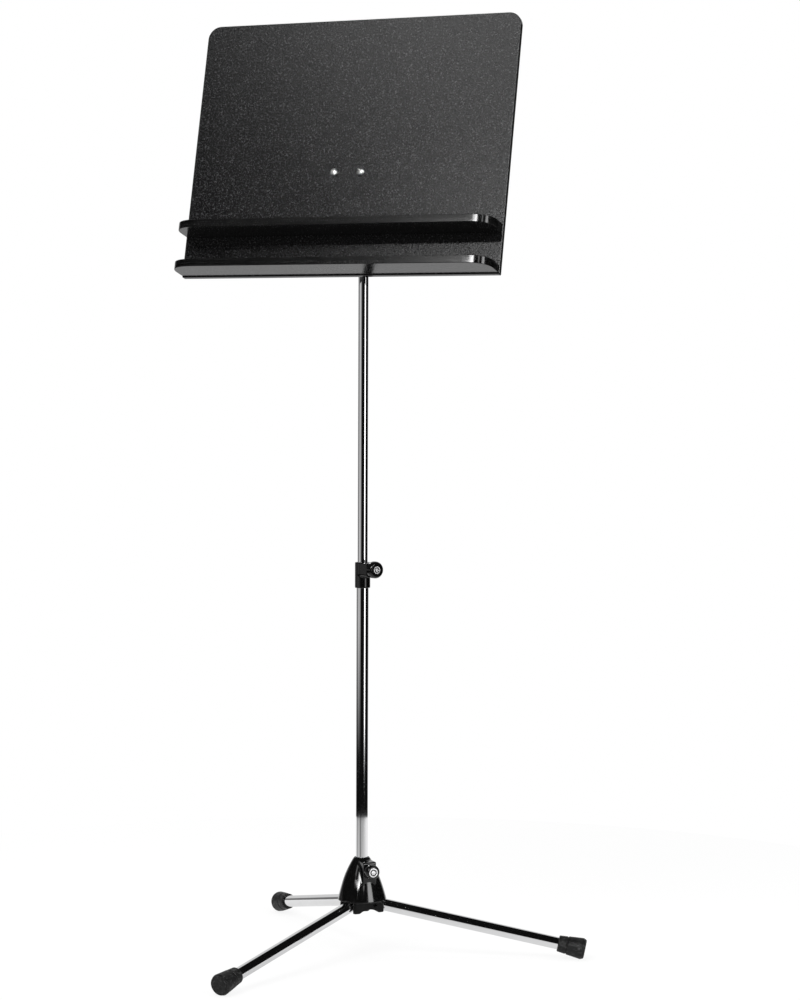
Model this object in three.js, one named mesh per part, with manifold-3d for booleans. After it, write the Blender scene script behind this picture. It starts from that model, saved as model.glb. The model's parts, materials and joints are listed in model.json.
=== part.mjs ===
// Orchestra music stand: a wooden desk with two ledges on a telescopic chromed column, which stands
// on a folding three-leg base. Millimetres, +Z up, the player stands on the -Y side. The origin is
// on the column's axis at floor level. Every piece is its own named mesh.
import * as THREE from "three";
import { mergeVertices } from "three/addons/utils/BufferGeometryUtils.js";
import Module from "manifold-3d";

const wasm = await Module();
wasm.setup();

// ---------- Driving dimensions ----------

// Clearances
const RUN = 0.3; // gap between pieces that slide or turn in each other
const SEAT = 0.3; // gap between pieces that rest on or are fixed to each other

// Desk boards
const DESK_WIDTH = 520;
const DESK_HEIGHT = 410;
const PANEL_THICKNESS = 9;
const PANEL_CORNER = 20.5; // radius of the two top corners
const LEDGE_DEPTH = 55;
const LEDGE_THICKNESS = 12;
const LEDGE_CORNER = 30; // radius of the ledges' front corners
const LEDGE_SIDE_INSET = 1; // ledges are this much shorter than the panel at each end
const TRAY_LIFT = 1.8; // lower tray's underside above the panel's bottom edge
const LEDGE_PITCH = 62.5; // from the lower tray's underside to the upper shelf's
const LEDGE_SCREWS = 4; // screws in each ledge
const LEDGE_SCREW_SPREAD = 440; // between the outermost of them
const WOOD_SCREW_R = 1.75;
const WOOD_SCREW_HEAD_R = 3.6;
const WOOD_SCREW_LENGTH = 35;
const WOOD_SCREW_SINK = 0.2; // how deep a head lies below the panel's back
const WOOD_SCREW_RIM = 0.5; // height of a head's straight rim
const WOOD_SCREW_POINT = 4; // length of the point
const WOOD_SCREW_TIP_R = 0.3;

// Tilt joint
const PIVOT_Z = 1200; // height of the tilt bolt's axis
const DESK_TILT = 14; // degrees back from vertical
const PIVOT_UP_PANEL = 164; // height of the tilt axis above the panel's bottom edge
const PIVOT_TO_PANEL = 61; // from the tilt axis to the panel's back
const BRACKET_SHEET = 2.5;
const BRACKET_WIDTH = 70;
const BRACKET_HEIGHT = 64;
const BRACKET_CORNER = 6;
const BRACKET_WINDOW_IN = 1; // how far the window's sides lie inside the ears
const EAR_WIDTH = 26; // width of an ear at the tilt bolt
const EAR_ROOT_WIDTH = 46; // width of an ear where it leaves the plate
const BOLT_SPACING = 44; // between the two domed bolts
const BOLT_R = 3;
const BOLT_HEAD_R = 6.4;
const BOLT_HEAD_HEIGHT = 3.2;
const BOLT_HEAD_RIM = 0.6; // height of the straight rim under the dome
const BOLT_SLOT = { width: 1.4, depth: 1.4 };
const BOLT_BEYOND_NUT = 1.5;
const BOLT_NUT_FLATS = 10;
const BOLT_NUT_HEIGHT = 5;
const HEAD_BARREL_R = 12;
const HEAD_HALF_WIDTH = 11;
const HEAD_SOCKET_R = 11;
const HEAD_SOCKET_LENGTH = 32;
const HEAD_NECK = 18; // from the tilt axis down to the socket's closed end
const HEAD_NECK_WIDTH = 18; // of the square neck between socket and barrel
const HEAD_BEVEL = 1; // at the socket's open end
const HEAD_PIN_R = 2;
const FRICTION_DISC = 1.2; // thickness of the discs between ears and head
const TILT_BOLT_R = 4;
const TILT_BOLT_HEAD_R = 8;
const TILT_BOLT_HEAD_HEIGHT = 4;
const TILT_BOLT_HEAD_BEVEL = 2.2;
const TILT_INSERT_WALL = 1.5; // of the brass insert moulded into the tilt knob
const TILT_WASHER = 1.6;

// Column
const UPPER_TUBE_R = 8;
const UPPER_TUBE_WALL = 1.2;
const UPPER_TUBE_BOTTOM = 480;
const LOWER_TUBE_R = 9.5;
const LOWER_TUBE_WALL = 1.2;
const COLLAR_BOTTOM = 576;
const COLLAR_TOP = 616;
const COLLAR_R = 12;
const COLLAR_FOOT_BEVEL = 2.2; // at the collar's lower end
const COLLAR_TOP_BEVEL = 0.8;
const BUSH_DOWN = 0.6; // how deep the collar's bush lies below the collar's top
const BUSH_SHOULDER = 0.8; // how far the collar's bush overlaps the lower tube's end
const COLLAR_GRIP = 22; // length of the lower tube inside the collar
const BUSH_FLANGE = 4; // guide bush: flange under the upper tube
const BUSH_STEM = 24; // and the stem inside it
const BUSH_WALL = 2;
const BUSH_BEVEL = 0.6; // at the flange's lower edge

// Leg base
const LEG_ANGLE = 15.5; // direction of the first leg, degrees from +X
const LEGS = 3;
const LEG_SLOPE = 11.3; // degrees below horizontal
const LEG_TUBE_R = 9.5;
const LEG_TUBE_WALL = 1.2;
const PIN_RADIAL = 24; // hinge pin's distance from the column's axis
const PIN_R = 2.5;
const PIN_RECESS = 0.8; // how deep the pin's end lies in its bore
const LEG_PLUG_LENGTH = 22; // from the pin to the plug's end inside the tube
const PLUG_INSET = 0.5; // how deep the plug lies in the root's end
const LEG_REACH = 333.5; // from the hinge pin to the cap's outer face
const LEG_ROOT_R = 10.3; // radius of the rounded root end about its pin
const CAP_LENGTH = 43;
const CAP_R = 16.6;
const CAP_SMALL_R = 11.8;
const CAP_EDGE = 5; // radius of the edge round its outer face
const CAP_MOUTH_BEVEL = 1; // where the tube goes in
const CAP_FLOOR = 8; // rubber beyond the tube's end
const CAP_FLAT = 0.6; // depth of the moulded flat that stands on the floor
const CAP_GROOVE = { along: 20.2, half: 1.2, under: 1.9, depth: 0.8, step: 0.7 };
const ROOT_STOCK = 4; // length behind the heel that shaping the root cuts away

// Spider: the casting that carries the legs
const SPIDER_LEG_FACE = 36; // distance of the faces that the legs leave
const SPIDER_WEB_FACE = 31; // distance of the faces between the legs
const SPIDER_CORNER = 3;
const SPIDER_DOWN = 11.5; // its lower edge below the hinge pins
const SPIDER_UP = 5.4; // its upper edge above the hinge pins
const SPIDER_ARCH = 5.8; // rise of the arch in each web's lower edge
const SPIDER_WALL = 3;
const SPIDER_DECK = 3;
const POCKET_HALF = 11; // half width of the pocket under each web
const POCKET_BEHIND = 2; // wall that a pocket leaves round the sleeve
const ARCH_BEYOND_POCKET = 5; // how much further the web's arch reaches at each side
const EAR_BOSS_WALL = 4; // wall round the hinge pin in an ear
const SPIDER_SLEEVE_WALL = 3.3;
const SPIDER_SLEEVE_UP = 8;
const SPIDER_FLOOR = 3;
const SPIDER_SCREW_R = 2.5;
const SPIDER_SCREW_HEAD_R = 5;
const SPIDER_SCREW_HEAD = 3.2;
const SPIDER_SCREW_SLOT = { width: 1.2, depth: 1.2 };
const SPIDER_SCREW_SHORT = 4; // how far the screw ends below the plug's top
const TUBE_PLUG_LENGTH = 22;

// Hub: the bell that slides on the lower tube and locks the legs
const HUB_HEIGHT = 67;
const HUB_RIM_R = 39.1;
const HUB_BELLY = { height: 38, radius: 29.4 }; // where its tangents at the rim and the neck meet
const HUB_NECK = { height: 63.5, radius: 14 }; // upper end of the bell's curve
const HUB_TOP_R = 11.6;
const HUB_VALLEY = 36.7; // distance of the flats between the legs, at the rim
const HUB_VALLEY_LEAN = 0.21; // how much the flats lean in, per millimetre of height
const HUB_VALLEY_BLEND = 1.5; // how softly the flats meet the round parts
const HUB_WALL = 3;
const HUB_SLEEVE_R = 13;
const HUB_SLEEVE_START = 7.5; // height of the sleeve's lower end above the rim
const HUB_ARCH_R = 13; // arch over each leg, at the outside
// Heights above the rim
const BASE_BOSS = { faceRadial: 32, width: 21.5, top: 63, bottom: 27.6, arch: 5.1 };
const BASE_BOSS_CORNER = 1.5; // bevel of its two upper corners
const BASE_BOSS_CHAMFER = 1.2; // half the diagonal of the chamfer along its top front edge

// Clamps: a knob turns a screw that pushes a brake pad against the tube
const CLAMP_SCREW_R = 3;
const CLAMP_PAD_R = 3.6;
const CLAMP_PAD_LENGTH = 5;
const INSERT_R = 5;
const INSERT_LENGTH = 9;
const BASE_KNOB_UP = 49.2; // its axis above the hub's rim
const BASE_KNOB = { grip: 11.75, faceRadial: 46.5, disc: 7.2 };
const HEIGHT_KNOB_DOWN = 10; // its axis below the collar's top
const HEIGHT_KNOB = { grip: 13.2, faceRadial: 40.5, disc: 5.8 };
const HEIGHT_CLAMP_ANGLE = -34;
const HEIGHT_BOSS = { faceRadial: 26.5, width: 21, length: 22.6, round: 5, corner: 1.5 };
const TILT_KNOB = { grip: 15, length: 18, disc: 6.5 };
const KNOB_NECK = 3; // length of the narrower neck behind a grip
const KNOB_NECK_SHARE = 0.72; // the neck's radius over the grip's
const KNOB_FACE_SHARE = 0.74; // the flat face's radius over the grip's
const KNOB_ROUND_SHARE = 0.42; // share of a knob's length that is rounded towards its face
const KNOB_EDGE = 0.6; // bevel of the grip's back edge
const KNOB_WALL = 3; // between the disc's recess and the bore
const DISC_THICKNESS = 1.2;
const DISC_EDGE = 0.2; // bevel of a disc's rim
const DISC_GROOVE = { outer: 0.74, inner: 0.48, depth: 0.5, flank: 0.02 }; // radii as shares

// ---------- Materials ----------

function material(color, roughness, metalness) {
  return new THREE.MeshStandardMaterial({ color, roughness, metalness });
}

const BLACK_WOOD = material(0x141312, 0.55, 0);
const CHROME = material(0xd8d8da, 0.08, 1);
const BLACK_PLASTIC = material(0x0b0b0b, 0.25, 0);
const BLACK_STEEL = material(0x161616, 0.4, 0.2);
const RUBBER = material(0x1b1b1b, 0.85, 0);
const BRASS = material(0xb08d3c, 0.35, 1);
const ZINC_STEEL = material(0xb4b6b8, 0.35, 1);
const NYLON = material(0x2a2a2a, 0.6, 0);
const SILVER_DISC = material(0xcfd0d2, 0.3, 1);

// ---------- Solid helpers ----------

const deg = THREE.MathUtils.degToRad;
const BELL = 45; // facets round the hub's outside
const BELL_STEPS = 6; // steps along the bell's curve
const SMOOTH = 22; // facets round a large piece
const BROAD = 24; // facets round a wide arc or the bell's hollow
const FINE = 18; // facets round a tube or a knob
const ROUND = 12; // facets round a disc or a bore
const SMALL = 10; // facets round a screw or a pin
const PAST = 1; // how far a cutting tool reaches past the face that it opens
const ARC_STEPS = 3; // steps round a quarter turn of a profile
const CORNER = 7; // facets round a board's corner
const SMALL_CORNER = 3; // facets round a small piece's corner
const FAR = 60; // how far a cutting tool reaches when it opens everything ahead

/** The geometry as a closed manifold-3d solid, with its faces pointing out. */
function toSolid(geometry) {
  const bare = geometry.clone();
  bare.deleteAttribute("normal");
  bare.deleteAttribute("uv");
  // What a boolean made already shares its vertices, some of which lie close together.
  const merged = geometry.userData.sharesVertices ? bare : mergeVertices(bare, 1e-4);
  const corners = [];
  const index = merged.index.array;
  for (let i = 0; i < index.length; i += 3) {
    const [a, b, c] = index.subarray(i, i + 3);
    if (a !== b && b !== c && c !== a) corners.push(a, b, c);
  }
  const build = (triangles) =>
    new wasm.Manifold(
      new wasm.Mesh({
        numProp: 3,
        vertProperties: merged.attributes.position.array,
        triVerts: new Uint32Array(triangles),
      }),
    );
  const made = build(corners);
  if (made.volume() > 0) return made;
  for (let i = 0; i < corners.length; i += 3) {
    [corners[i], corners[i + 1]] = [corners[i + 1], corners[i]];
  }
  return build(corners);
}

/** A solid's surface as a three.js geometry. */
function toGeometry(solid) {
  const mesh = solid.getMesh();
  const geometry = new THREE.BufferGeometry();
  const positions = new Float32Array(mesh.numVert * 3);
  for (let i = 0; i < mesh.numVert; i++) {
    positions.set(mesh.vertProperties.subarray(i * mesh.numProp, i * mesh.numProp + 3), i * 3);
  }
  geometry.setAttribute("position", new THREE.BufferAttribute(positions, 3));
  geometry.setIndex(new THREE.BufferAttribute(new Uint32Array(mesh.triVerts), 1));
  geometry.computeVertexNormals();
  geometry.userData.sharesVertices = true;
  return geometry;
}

function join(first, ...rest) {
  return toGeometry(rest.reduce((sum, g) => sum.add(toSolid(g)), toSolid(first)));
}

function cut(base, ...tools) {
  return toGeometry(tools.reduce((left, g) => left.subtract(toSolid(g)), toSolid(base)));
}

function common(a, b) {
  return toGeometry(toSolid(a).intersect(toSolid(b)));
}

/** Solid of revolution about +Z from [radius, height] points that start and end on the axis. */
function turned(points, facets = FINE) {
  const profile = points.map(([r, z]) => new THREE.Vector2(r, z));
  return new THREE.LatheGeometry(profile, facets).rotateX(Math.PI / 2);
}

function cylinder(radius, from, to, facets = FINE) {
  return turned([[0, from], [radius, from], [radius, to], [0, to]], facets);
}

function tube(outer, inner, from, to, facets = FINE) {
  return turned([[inner, from], [outer, from], [outer, to], [inner, to], [inner, from]], facets);
}

/** Turns a piece made along +Z so that it runs along +X. */
function alongX(geometry) {
  return geometry.rotateY(Math.PI / 2);
}

/** Turns a piece made along +Z so that it runs along -Y. */
function alongMinusY(geometry) {
  return geometry.rotateX(Math.PI / 2);
}

function block(x0, x1, y0, y1, z0, z1) {
  const geometry = new THREE.BoxGeometry(x1 - x0, y1 - y0, z1 - z0);
  return geometry.translate((x0 + x1) / 2, (y0 + y1) / 2, (z0 + z1) / 2);
}

/** A flat outline in X and Y, extruded along +Z. */
function plate(shape, from, to, facets = CORNER) {
  const options = { depth: to - from, bevelEnabled: false, curveSegments: facets };
  return new THREE.ExtrudeGeometry(shape, options).translate(0, 0, from);
}

/** A closed outline through the corners, each rounded by its own radius: [x, y, radius]. */
function roundedOutline(corners) {
  const shape = new THREE.Shape();
  const at = (i) => new THREE.Vector2(...corners[(i + corners.length) % corners.length]);
  corners.forEach(([x, y, radius], i) => {
    const here = new THREE.Vector2(x, y);
    const before = at(i - 1).sub(here).normalize();
    const after = at(i + 1).sub(here).normalize();
    const reach = radius / Math.tan(Math.acos(before.dot(after)) / 2);
    const start = here.clone().addScaledVector(before, reach);
    const end = here.clone().addScaledVector(after, reach);
    if (i === 0) shape.moveTo(start.x, start.y);
    else shape.lineTo(start.x, start.y);
    if (radius === 0) return;
    const middle = before.clone().add(after).normalize();
    const centre = here.clone().addScaledVector(middle, Math.hypot(reach, radius));
    const startAngle = Math.atan2(start.y - centre.y, start.x - centre.x);
    const endAngle = Math.atan2(end.y - centre.y, end.x - centre.x);
    const clockwise = before.cross(after) > 0;
    shape.absarc(centre.x, centre.y, radius, startAngle, endAngle, clockwise);
  });
  shape.closePath();
  return shape;
}

/** A closed skin through rings of equally many points, with a fan over each end ring. */
function loft(rings) {
  const count = rings[0].length;
  const points = rings.flat();
  const triangles = [];
  for (let k = 0; k + 1 < rings.length; k++) {
    for (let i = 0; i < count; i++) {
      const a = k * count + i;
      const b = k * count + ((i + 1) % count);
      triangles.push(a, b, a + count, b, b + count, a + count);
    }
  }
  for (const [ring, last] of [[rings[0], false], [rings.at(-1), true]]) {
    const middle = ring.reduce((sum, p) => sum.add(p), new THREE.Vector3()).divideScalar(count);
    const first = last ? (rings.length - 1) * count : 0;
    points.push(middle);
    for (let i = 0; i < count; i++) {
      const a = first + i;
      const b = first + ((i + 1) % count);
      triangles.push(...(last ? [a, b, points.length - 1] : [b, a, points.length - 1]));
    }
  }
  const geometry = new THREE.BufferGeometry().setFromPoints(points);
  geometry.setIndex(triangles);
  return geometry;
}

const stand = new THREE.Group();

/** Adds a named piece to a group. */
function add(group, name, geometry, finish) {
  const mesh = new THREE.Mesh(geometry, finish);
  mesh.name = name;
  group.add(mesh);
}

/** A group whose +X points away from the column's axis in the given direction. */
function facing(angle) {
  const group = new THREE.Group();
  group.rotation.z = deg(angle);
  stand.add(group);
  return group;
}

// ---------- Derived places ----------

const slope = deg(LEG_SLOPE);
const legTubeBore = LEG_TUBE_R - LEG_TUBE_WALL;
const upperTubeBore = UPPER_TUBE_R - UPPER_TUBE_WALL;
const lowerTubeBore = LOWER_TUBE_R - LOWER_TUBE_WALL;
// The cap's widest ring, an edge radius inside its outer face, stands on the floor.
const pinZ =
  (LEG_REACH - CAP_EDGE) * Math.sin(slope) + CAP_R * Math.cos(slope) - CAP_FLAT;
const spiderBottom = pinZ - SPIDER_DOWN;
const spiderTop = pinZ + SPIDER_UP;
const hubRim = spiderTop + SEAT;
const hubTop = hubRim + HUB_HEIGHT;
const spiderFloorTop = spiderBottom + SPIDER_SCREW_HEAD + SEAT + SPIDER_FLOOR;
const lowerTubeBottom = spiderFloorTop + SEAT;
const lowerTubeTop = COLLAR_BOTTOM + COLLAR_GRIP;
const baseKnobZ = hubRim + BASE_KNOB_UP;
const heightKnobZ = COLLAR_TOP - HEIGHT_KNOB_DOWN;
const upperTubeTop = PIVOT_Z - HEAD_NECK - SEAT;
const sleeveR = LOWER_TUBE_R + RUN + SPIDER_SLEEVE_WALL;
const legAngles = Array.from({ length: LEGS }, (_, i) => LEG_ANGLE - (i * 360) / LEGS);
const valleyTurn = 180 / LEGS; // from a leg's direction to the next valley's
const baseClampAngle = LEG_ANGLE - valleyTurn;
const knobFloor = DISC_THICKNESS + SEAT + KNOB_WALL + SEAT; // from a knob's face to its screw's end

// ---------- Legs ----------

/** Keeps the part of a leg that lies in front of its rounded root end and its stop heel. */
function withRoundedRoot(geometry, radius, heel) {
  const wide = LEG_TUBE_R + PAST;
  const around = cylinder(radius, -wide, wide, FINE).rotateX(Math.PI / 2);
  const ahead = block(0, LEG_REACH, -wide, wide, -wide, wide);
  const heelBlock = block(-heel, PAST, -wide, wide, -wide, 0);
  return common(geometry, join(around, ahead, heelBlock));
}

/** How far the heel reaches behind the pin, so that it stops against the spider's sleeve. */
function heelReach(tubeRadius) {
  const room = PIN_RADIAL - sleeveR - SEAT;
  return (room - tubeRadius * Math.sin(slope)) / Math.cos(slope);
}

function pinBore() {
  const reach = LEG_TUBE_R + PAST;
  return cylinder(PIN_R + RUN, -reach, reach, SMALL).rotateX(Math.PI / 2);
}

function capGeometry(bore) {
  const start = LEG_REACH - CAP_LENGTH;
  const { along, half, under, depth, step } = CAP_GROOVE;
  const bevel = CAP_MOUTH_BEVEL;
  const groove = start + along;
  const lip = CAP_SMALL_R + under;
  const seat = LEG_REACH - CAP_FLOOR;
  const outline = [[bore, start], [CAP_SMALL_R - bevel, start]];
  outline.push([CAP_SMALL_R, start + bevel]);
  outline.push([lip, groove - half], [lip - depth, groove], [lip + step, groove + half]);
  for (let k = 0; k <= ARC_STEPS; k++) {
    const turn = (k / ARC_STEPS) * (Math.PI / 2);
    const r = CAP_R - CAP_EDGE + CAP_EDGE * Math.cos(turn);
    outline.push([r, LEG_REACH - CAP_EDGE + CAP_EDGE * Math.sin(turn)]);
  }
  outline.push([0, LEG_REACH], [0, seat], [bore, seat], [bore, start]);
  return alongX(turned(outline, FINE));
}

/** The leg's pieces in its own frame: origin at the pin, +X along the tube. */
function makeLeg(number, angle) {
  const radial = facing(angle);
  const leg = new THREE.Group();
  leg.position.set(PIN_RADIAL, 0, pinZ);
  leg.rotation.y = slope;
  radial.add(leg);

  const tubeEnd = LEG_REACH - CAP_FLOOR - SEAT;
  const heel = heelReach(LEG_TUBE_R);
  const legTube = alongX(tube(LEG_TUBE_R, legTubeBore, -heel - ROOT_STOCK, tubeEnd));
  const rooted = withRoundedRoot(legTube, LEG_ROOT_R, heel);
  add(leg, `leg_tube_${number}`, cut(rooted, pinBore()), CHROME);

  const plugR = legTubeBore - SEAT;
  const plug = alongX(cylinder(plugR, -heel - ROOT_STOCK, LEG_PLUG_LENGTH));
  const rootedPlug = withRoundedRoot(plug, LEG_ROOT_R - PLUG_INSET, heel - PLUG_INSET);
  add(leg, `leg_plug_${number}`, cut(rootedPlug, pinBore()), NYLON);

  // The floor seen from the leg's frame: the cap is cut flat where it stands.
  const floor = block(-FAR, FAR, -FAR, FAR, -FAR, 0);
  floor.translate(LEG_REACH * Math.cos(slope), 0, -pinZ);
  floor.applyMatrix4(new THREE.Matrix4().makeRotationY(-slope));
  const cap = cut(capGeometry(LEG_TUBE_R + SEAT), floor);
  add(leg, `foot_cap_${number}`, cap, RUBBER);
}

// ---------- Spider ----------

/** Plan of the spider: long faces between the legs, short ones where the legs leave. */
function spiderOutline() {
  const turn = deg(valleyTurn);
  const half = (SPIDER_WEB_FACE - SPIDER_LEG_FACE * Math.cos(turn)) / Math.sin(turn);
  const corners = [];
  for (const angle of [...legAngles].reverse()) {
    for (const side of [-half, half]) {
      const at = new THREE.Vector2(SPIDER_LEG_FACE, side);
      at.rotateAround(new THREE.Vector2(), deg(angle));
      corners.push([at.x, at.y, SPIDER_CORNER]);
    }
  }
  return roundedOutline(corners);
}

/** Where a hinge pin's axis leaves the spider through the web face beside its leg. */
function pinFace() {
  const turn = deg(valleyTurn);
  return (SPIDER_WEB_FACE - PIN_RADIAL * Math.cos(turn)) / Math.sin(turn);
}

function turnedTo(geometry, angle) {
  return geometry.rotateZ(deg(angle));
}

function makeSpider() {
  const slotHalf = LEG_TUBE_R + RUN;
  const body = plate(spiderOutline(), spiderBottom, spiderTop, SMALL_CORNER);
  const below = spiderBottom - PAST;
  let casting = join(body, cylinder(sleeveR, spiderBottom, pinZ + SPIDER_SLEEVE_UP, SMOOTH));
  for (const angle of legAngles) {
    // The slot that the leg swings in, open at both faces.
    const slot = block(0, FAR, -slotHalf, slotHalf, below, spiderTop + PAST);
    const slotTool = cut(slot, cylinder(sleeveR, below - PAST, spiderTop + 2 * PAST, SMOOTH));
    casting = cut(casting, turnedTo(slotTool, angle));
    // Ear bosses that carry the hinge pin above the deck.
    for (const side of [-1, 1]) {
      const boss = cylinder(PIN_R + EAR_BOSS_WALL, slotHalf, slotHalf + SPIDER_WALL, ROUND);
      boss.rotateX(-side * (Math.PI / 2)).translate(PIN_RADIAL, 0, pinZ);
      casting = join(casting, turnedTo(boss, angle));
    }
  }
  for (const angle of legAngles) {
    // Pocket under the deck between two legs, and the arch in its outer face.
    const valley = angle + valleyTurn;
    const start = sleeveR + POCKET_BEHIND;
    const end = SPIDER_WEB_FACE - SPIDER_WALL;
    const roof = spiderTop - SPIDER_DECK;
    const pocket = block(start, end, -POCKET_HALF, POCKET_HALF, below, roof);
    casting = cut(casting, turnedTo(pocket, valley));
    const halfChord = POCKET_HALF + ARCH_BEYOND_POCKET;
    const archR = (halfChord ** 2 + SPIDER_ARCH ** 2) / (2 * SPIDER_ARCH);
    const arch = alongX(cylinder(archR, start, FAR, BROAD));
    arch.translate(0, 0, spiderBottom + SPIDER_ARCH - archR);
    casting = cut(casting, turnedTo(arch, valley));
    // The hinge pin's bore, drilled from the web face through both ears.
    const bore = alongMinusY(cylinder(PIN_R + SEAT, -slotHalf - SPIDER_WALL, FAR, SMALL));
    casting = cut(casting, turnedTo(bore.translate(PIN_RADIAL, 0, pinZ), angle));
  }
  const headBore = cylinder(SPIDER_SCREW_HEAD_R + SEAT, below, spiderFloorTop - SPIDER_FLOOR, ROUND);
  const screwBore = cylinder(SPIDER_SCREW_R + SEAT, below, spiderFloorTop + PAST, SMALL);
  const tubeBore = cylinder(LOWER_TUBE_R + SEAT, spiderFloorTop, hubTop, SMOOTH);
  add(stand, "leg_spider", cut(casting, headBore, screwBore, tubeBore), BLACK_PLASTIC);
}

function makeHingePin(number, angle) {
  const radial = facing(angle);
  const slotHalf = LEG_TUBE_R + RUN;
  const pin = cylinder(PIN_R, -slotHalf - SPIDER_WALL, pinFace() - PIN_R - PIN_RECESS, SMALL);
  add(radial, `hinge_pin_${number}`, alongMinusY(pin).translate(PIN_RADIAL, 0, pinZ), ZINC_STEEL);
}

function makeTubeFoot() {
  const plugTop = lowerTubeBottom + TUBE_PLUG_LENGTH;
  const plug = cylinder(lowerTubeBore - SEAT, lowerTubeBottom, plugTop);
  const thread = cylinder(SPIDER_SCREW_R + SEAT, lowerTubeBottom - PAST, plugTop + PAST, SMALL);
  add(stand, "tube_foot_plug", cut(plug, thread), NYLON);

  const headTop = spiderFloorTop - SPIDER_FLOOR - SEAT;
  const head = cylinder(SPIDER_SCREW_HEAD_R, headTop - SPIDER_SCREW_HEAD, headTop, ROUND);
  const shank = cylinder(SPIDER_SCREW_R, headTop - PAST, plugTop - SPIDER_SCREW_SHORT, SMALL);
  const slotTop = headTop - SPIDER_SCREW_HEAD + SPIDER_SCREW_SLOT.depth;
  const slotHalf = SPIDER_SCREW_SLOT.width / 2;
  const slot = block(-slotHalf, slotHalf, -FAR, FAR, slotTop - FAR, slotTop);
  add(stand, "spider_screw", cut(join(head, shank), slot), ZINC_STEEL);
}

// ---------- Hub ----------

/** Heights above the rim and radii of the bell: one curve from rim to neck, then its top edge. */
function bellStations() {
  const curve = new THREE.QuadraticBezierCurve(
    new THREE.Vector2(0, HUB_RIM_R),
    new THREE.Vector2(HUB_BELLY.height, HUB_BELLY.radius),
    new THREE.Vector2(HUB_NECK.height, HUB_NECK.radius),
  );
  const stations = curve.getPoints(BELL_STEPS).map((p) => [p.x, p.y]);
  stations.push([HUB_HEIGHT, HUB_TOP_R]);
  return stations;
}

/** The smaller of two lengths, blended where they are nearly alike. */
function softMin(a, b, blend) {
  const mix = THREE.MathUtils.clamp(0.5 + (b - a) / (2 * blend), 0, 1);
  return THREE.MathUtils.lerp(b, a, mix) - blend * mix * (1 - mix);
}

/** One ring of the bell: a circle with three flats between the legs. */
function bellRing(height, radius, inset, count) {
  const ring = [];
  const flat = HUB_VALLEY - HUB_VALLEY_LEAN * height;
  for (let i = 0; i < count; i++) {
    const angle = (i / count) * 360;
    const fromLeg = THREE.MathUtils.euclideanModulo(angle - LEG_ANGLE, 360 / LEGS);
    const fromValley = deg(fromLeg - valleyTurn);
    const r = softMin(radius, flat / Math.cos(fromValley), HUB_VALLEY_BLEND) - inset;
    const turn = deg(angle);
    ring.push(new THREE.Vector3(r * Math.cos(turn), r * Math.sin(turn), hubRim + height));
  }
  return ring;
}

function bell() {
  return loft(bellStations().map(([height, radius]) => bellRing(height, radius, 0, BELL)));
}

/** The hollow inside the bell, up to where its wall meets the sleeve. */
function bellHollow() {
  const rings = [];
  const roof = HUB_SLEEVE_R + HUB_WALL + PAST;
  for (const [height, radius] of bellStations()) {
    if (radius < roof) break;
    rings.push(bellRing(height, radius, HUB_WALL, BROAD));
  }
  rings[0].forEach((point) => point.setZ(hubRim - PAST));
  return loft(rings);
}

/** Front outline of the base clamp's boss: a block with an arched lower edge. */
function baseBossOutline() {
  const { width, top, bottom, arch } = BASE_BOSS;
  const half = width / 2;
  const corner = BASE_BOSS_CORNER;
  const radius = (half ** 2 + arch ** 2) / (2 * arch);
  const opening = Math.asin(half / radius);
  const shape = new THREE.Shape();
  shape.absarc(0, bottom + arch - radius, radius, Math.PI / 2 + opening, Math.PI / 2 - opening, true);
  shape.lineTo(half, top - corner);
  shape.lineTo(half - corner, top);
  shape.lineTo(-half + corner, top);
  shape.lineTo(-half, top - corner);
  shape.closePath();
  return shape;
}

/** An upright outline in Y and Z, extruded along +X from the column's axis. */
function outward(shape, to, facets = CORNER) {
  return plate(shape, 0, to, facets)
    .rotateZ(Math.PI / 2)
    .rotateY(Math.PI / 2);
}

/** The base clamp's boss in the radial frame, with its top front edge chamfered. */
function baseBoss() {
  const { faceRadial, width, top } = BASE_BOSS;
  const bite = BASE_BOSS_CHAMFER;
  const edge = block(-bite, bite, -width, width, -bite, bite);
  edge.rotateY(Math.PI / 4).translate(faceRadial, 0, top);
  return cut(outward(baseBossOutline(), faceRadial), edge).translate(0, 0, hubRim);
}

/** Opens a clamp's bores in a boss: the insert's seat, the screw's way and the pad's guide. */
function clampBores(height, face) {
  const insertSeat = cylinder(INSERT_R + SEAT, face - INSERT_LENGTH - SEAT, face + PAST, ROUND);
  const way = cylinder(CLAMP_PAD_R + RUN, PAST, face, ROUND);
  return [insertSeat, way].map((g) => alongX(g).translate(0, 0, height));
}

function makeHub() {
  const boss = turnedTo(baseBoss(), baseClampAngle);
  const sleeve = cylinder(HUB_SLEEVE_R, hubRim + HUB_SLEEVE_START, hubTop, SMOOTH);
  const hollow = cut(bellHollow(), sleeve, boss);
  let hub = cut(join(bell(), boss), hollow);
  hub = cut(hub, cylinder(LOWER_TUBE_R + RUN, hubRim - PAST, hubTop + PAST, SMOOTH));
  for (const angle of legAngles) {
    // The arch over a leg opens from the tube's own radius at the inner wall to a wide mouth.
    const inner = HUB_RIM_R - HUB_WALL;
    const snug = LEG_TUBE_R + SEAT;
    const along = [[0, 0], [snug, 0], [snug, inner - PIN_RADIAL]];
    along.push([HUB_ARCH_R, HUB_RIM_R - PIN_RADIAL], [HUB_ARCH_R, FAR], [0, FAR]);
    const arch = alongX(turned(along, SMOOTH));
    arch.rotateY(slope).translate(PIN_RADIAL, 0, pinZ);
    hub = cut(hub, turnedTo(arch, angle));
  }
  const bores = clampBores(baseKnobZ, BASE_BOSS.faceRadial);
  bores.forEach((bore) => turnedTo(bore, baseClampAngle));
  add(stand, "base_hub", cut(hub, ...bores), BLACK_PLASTIC);
}

// ---------- Clamps ----------

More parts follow.
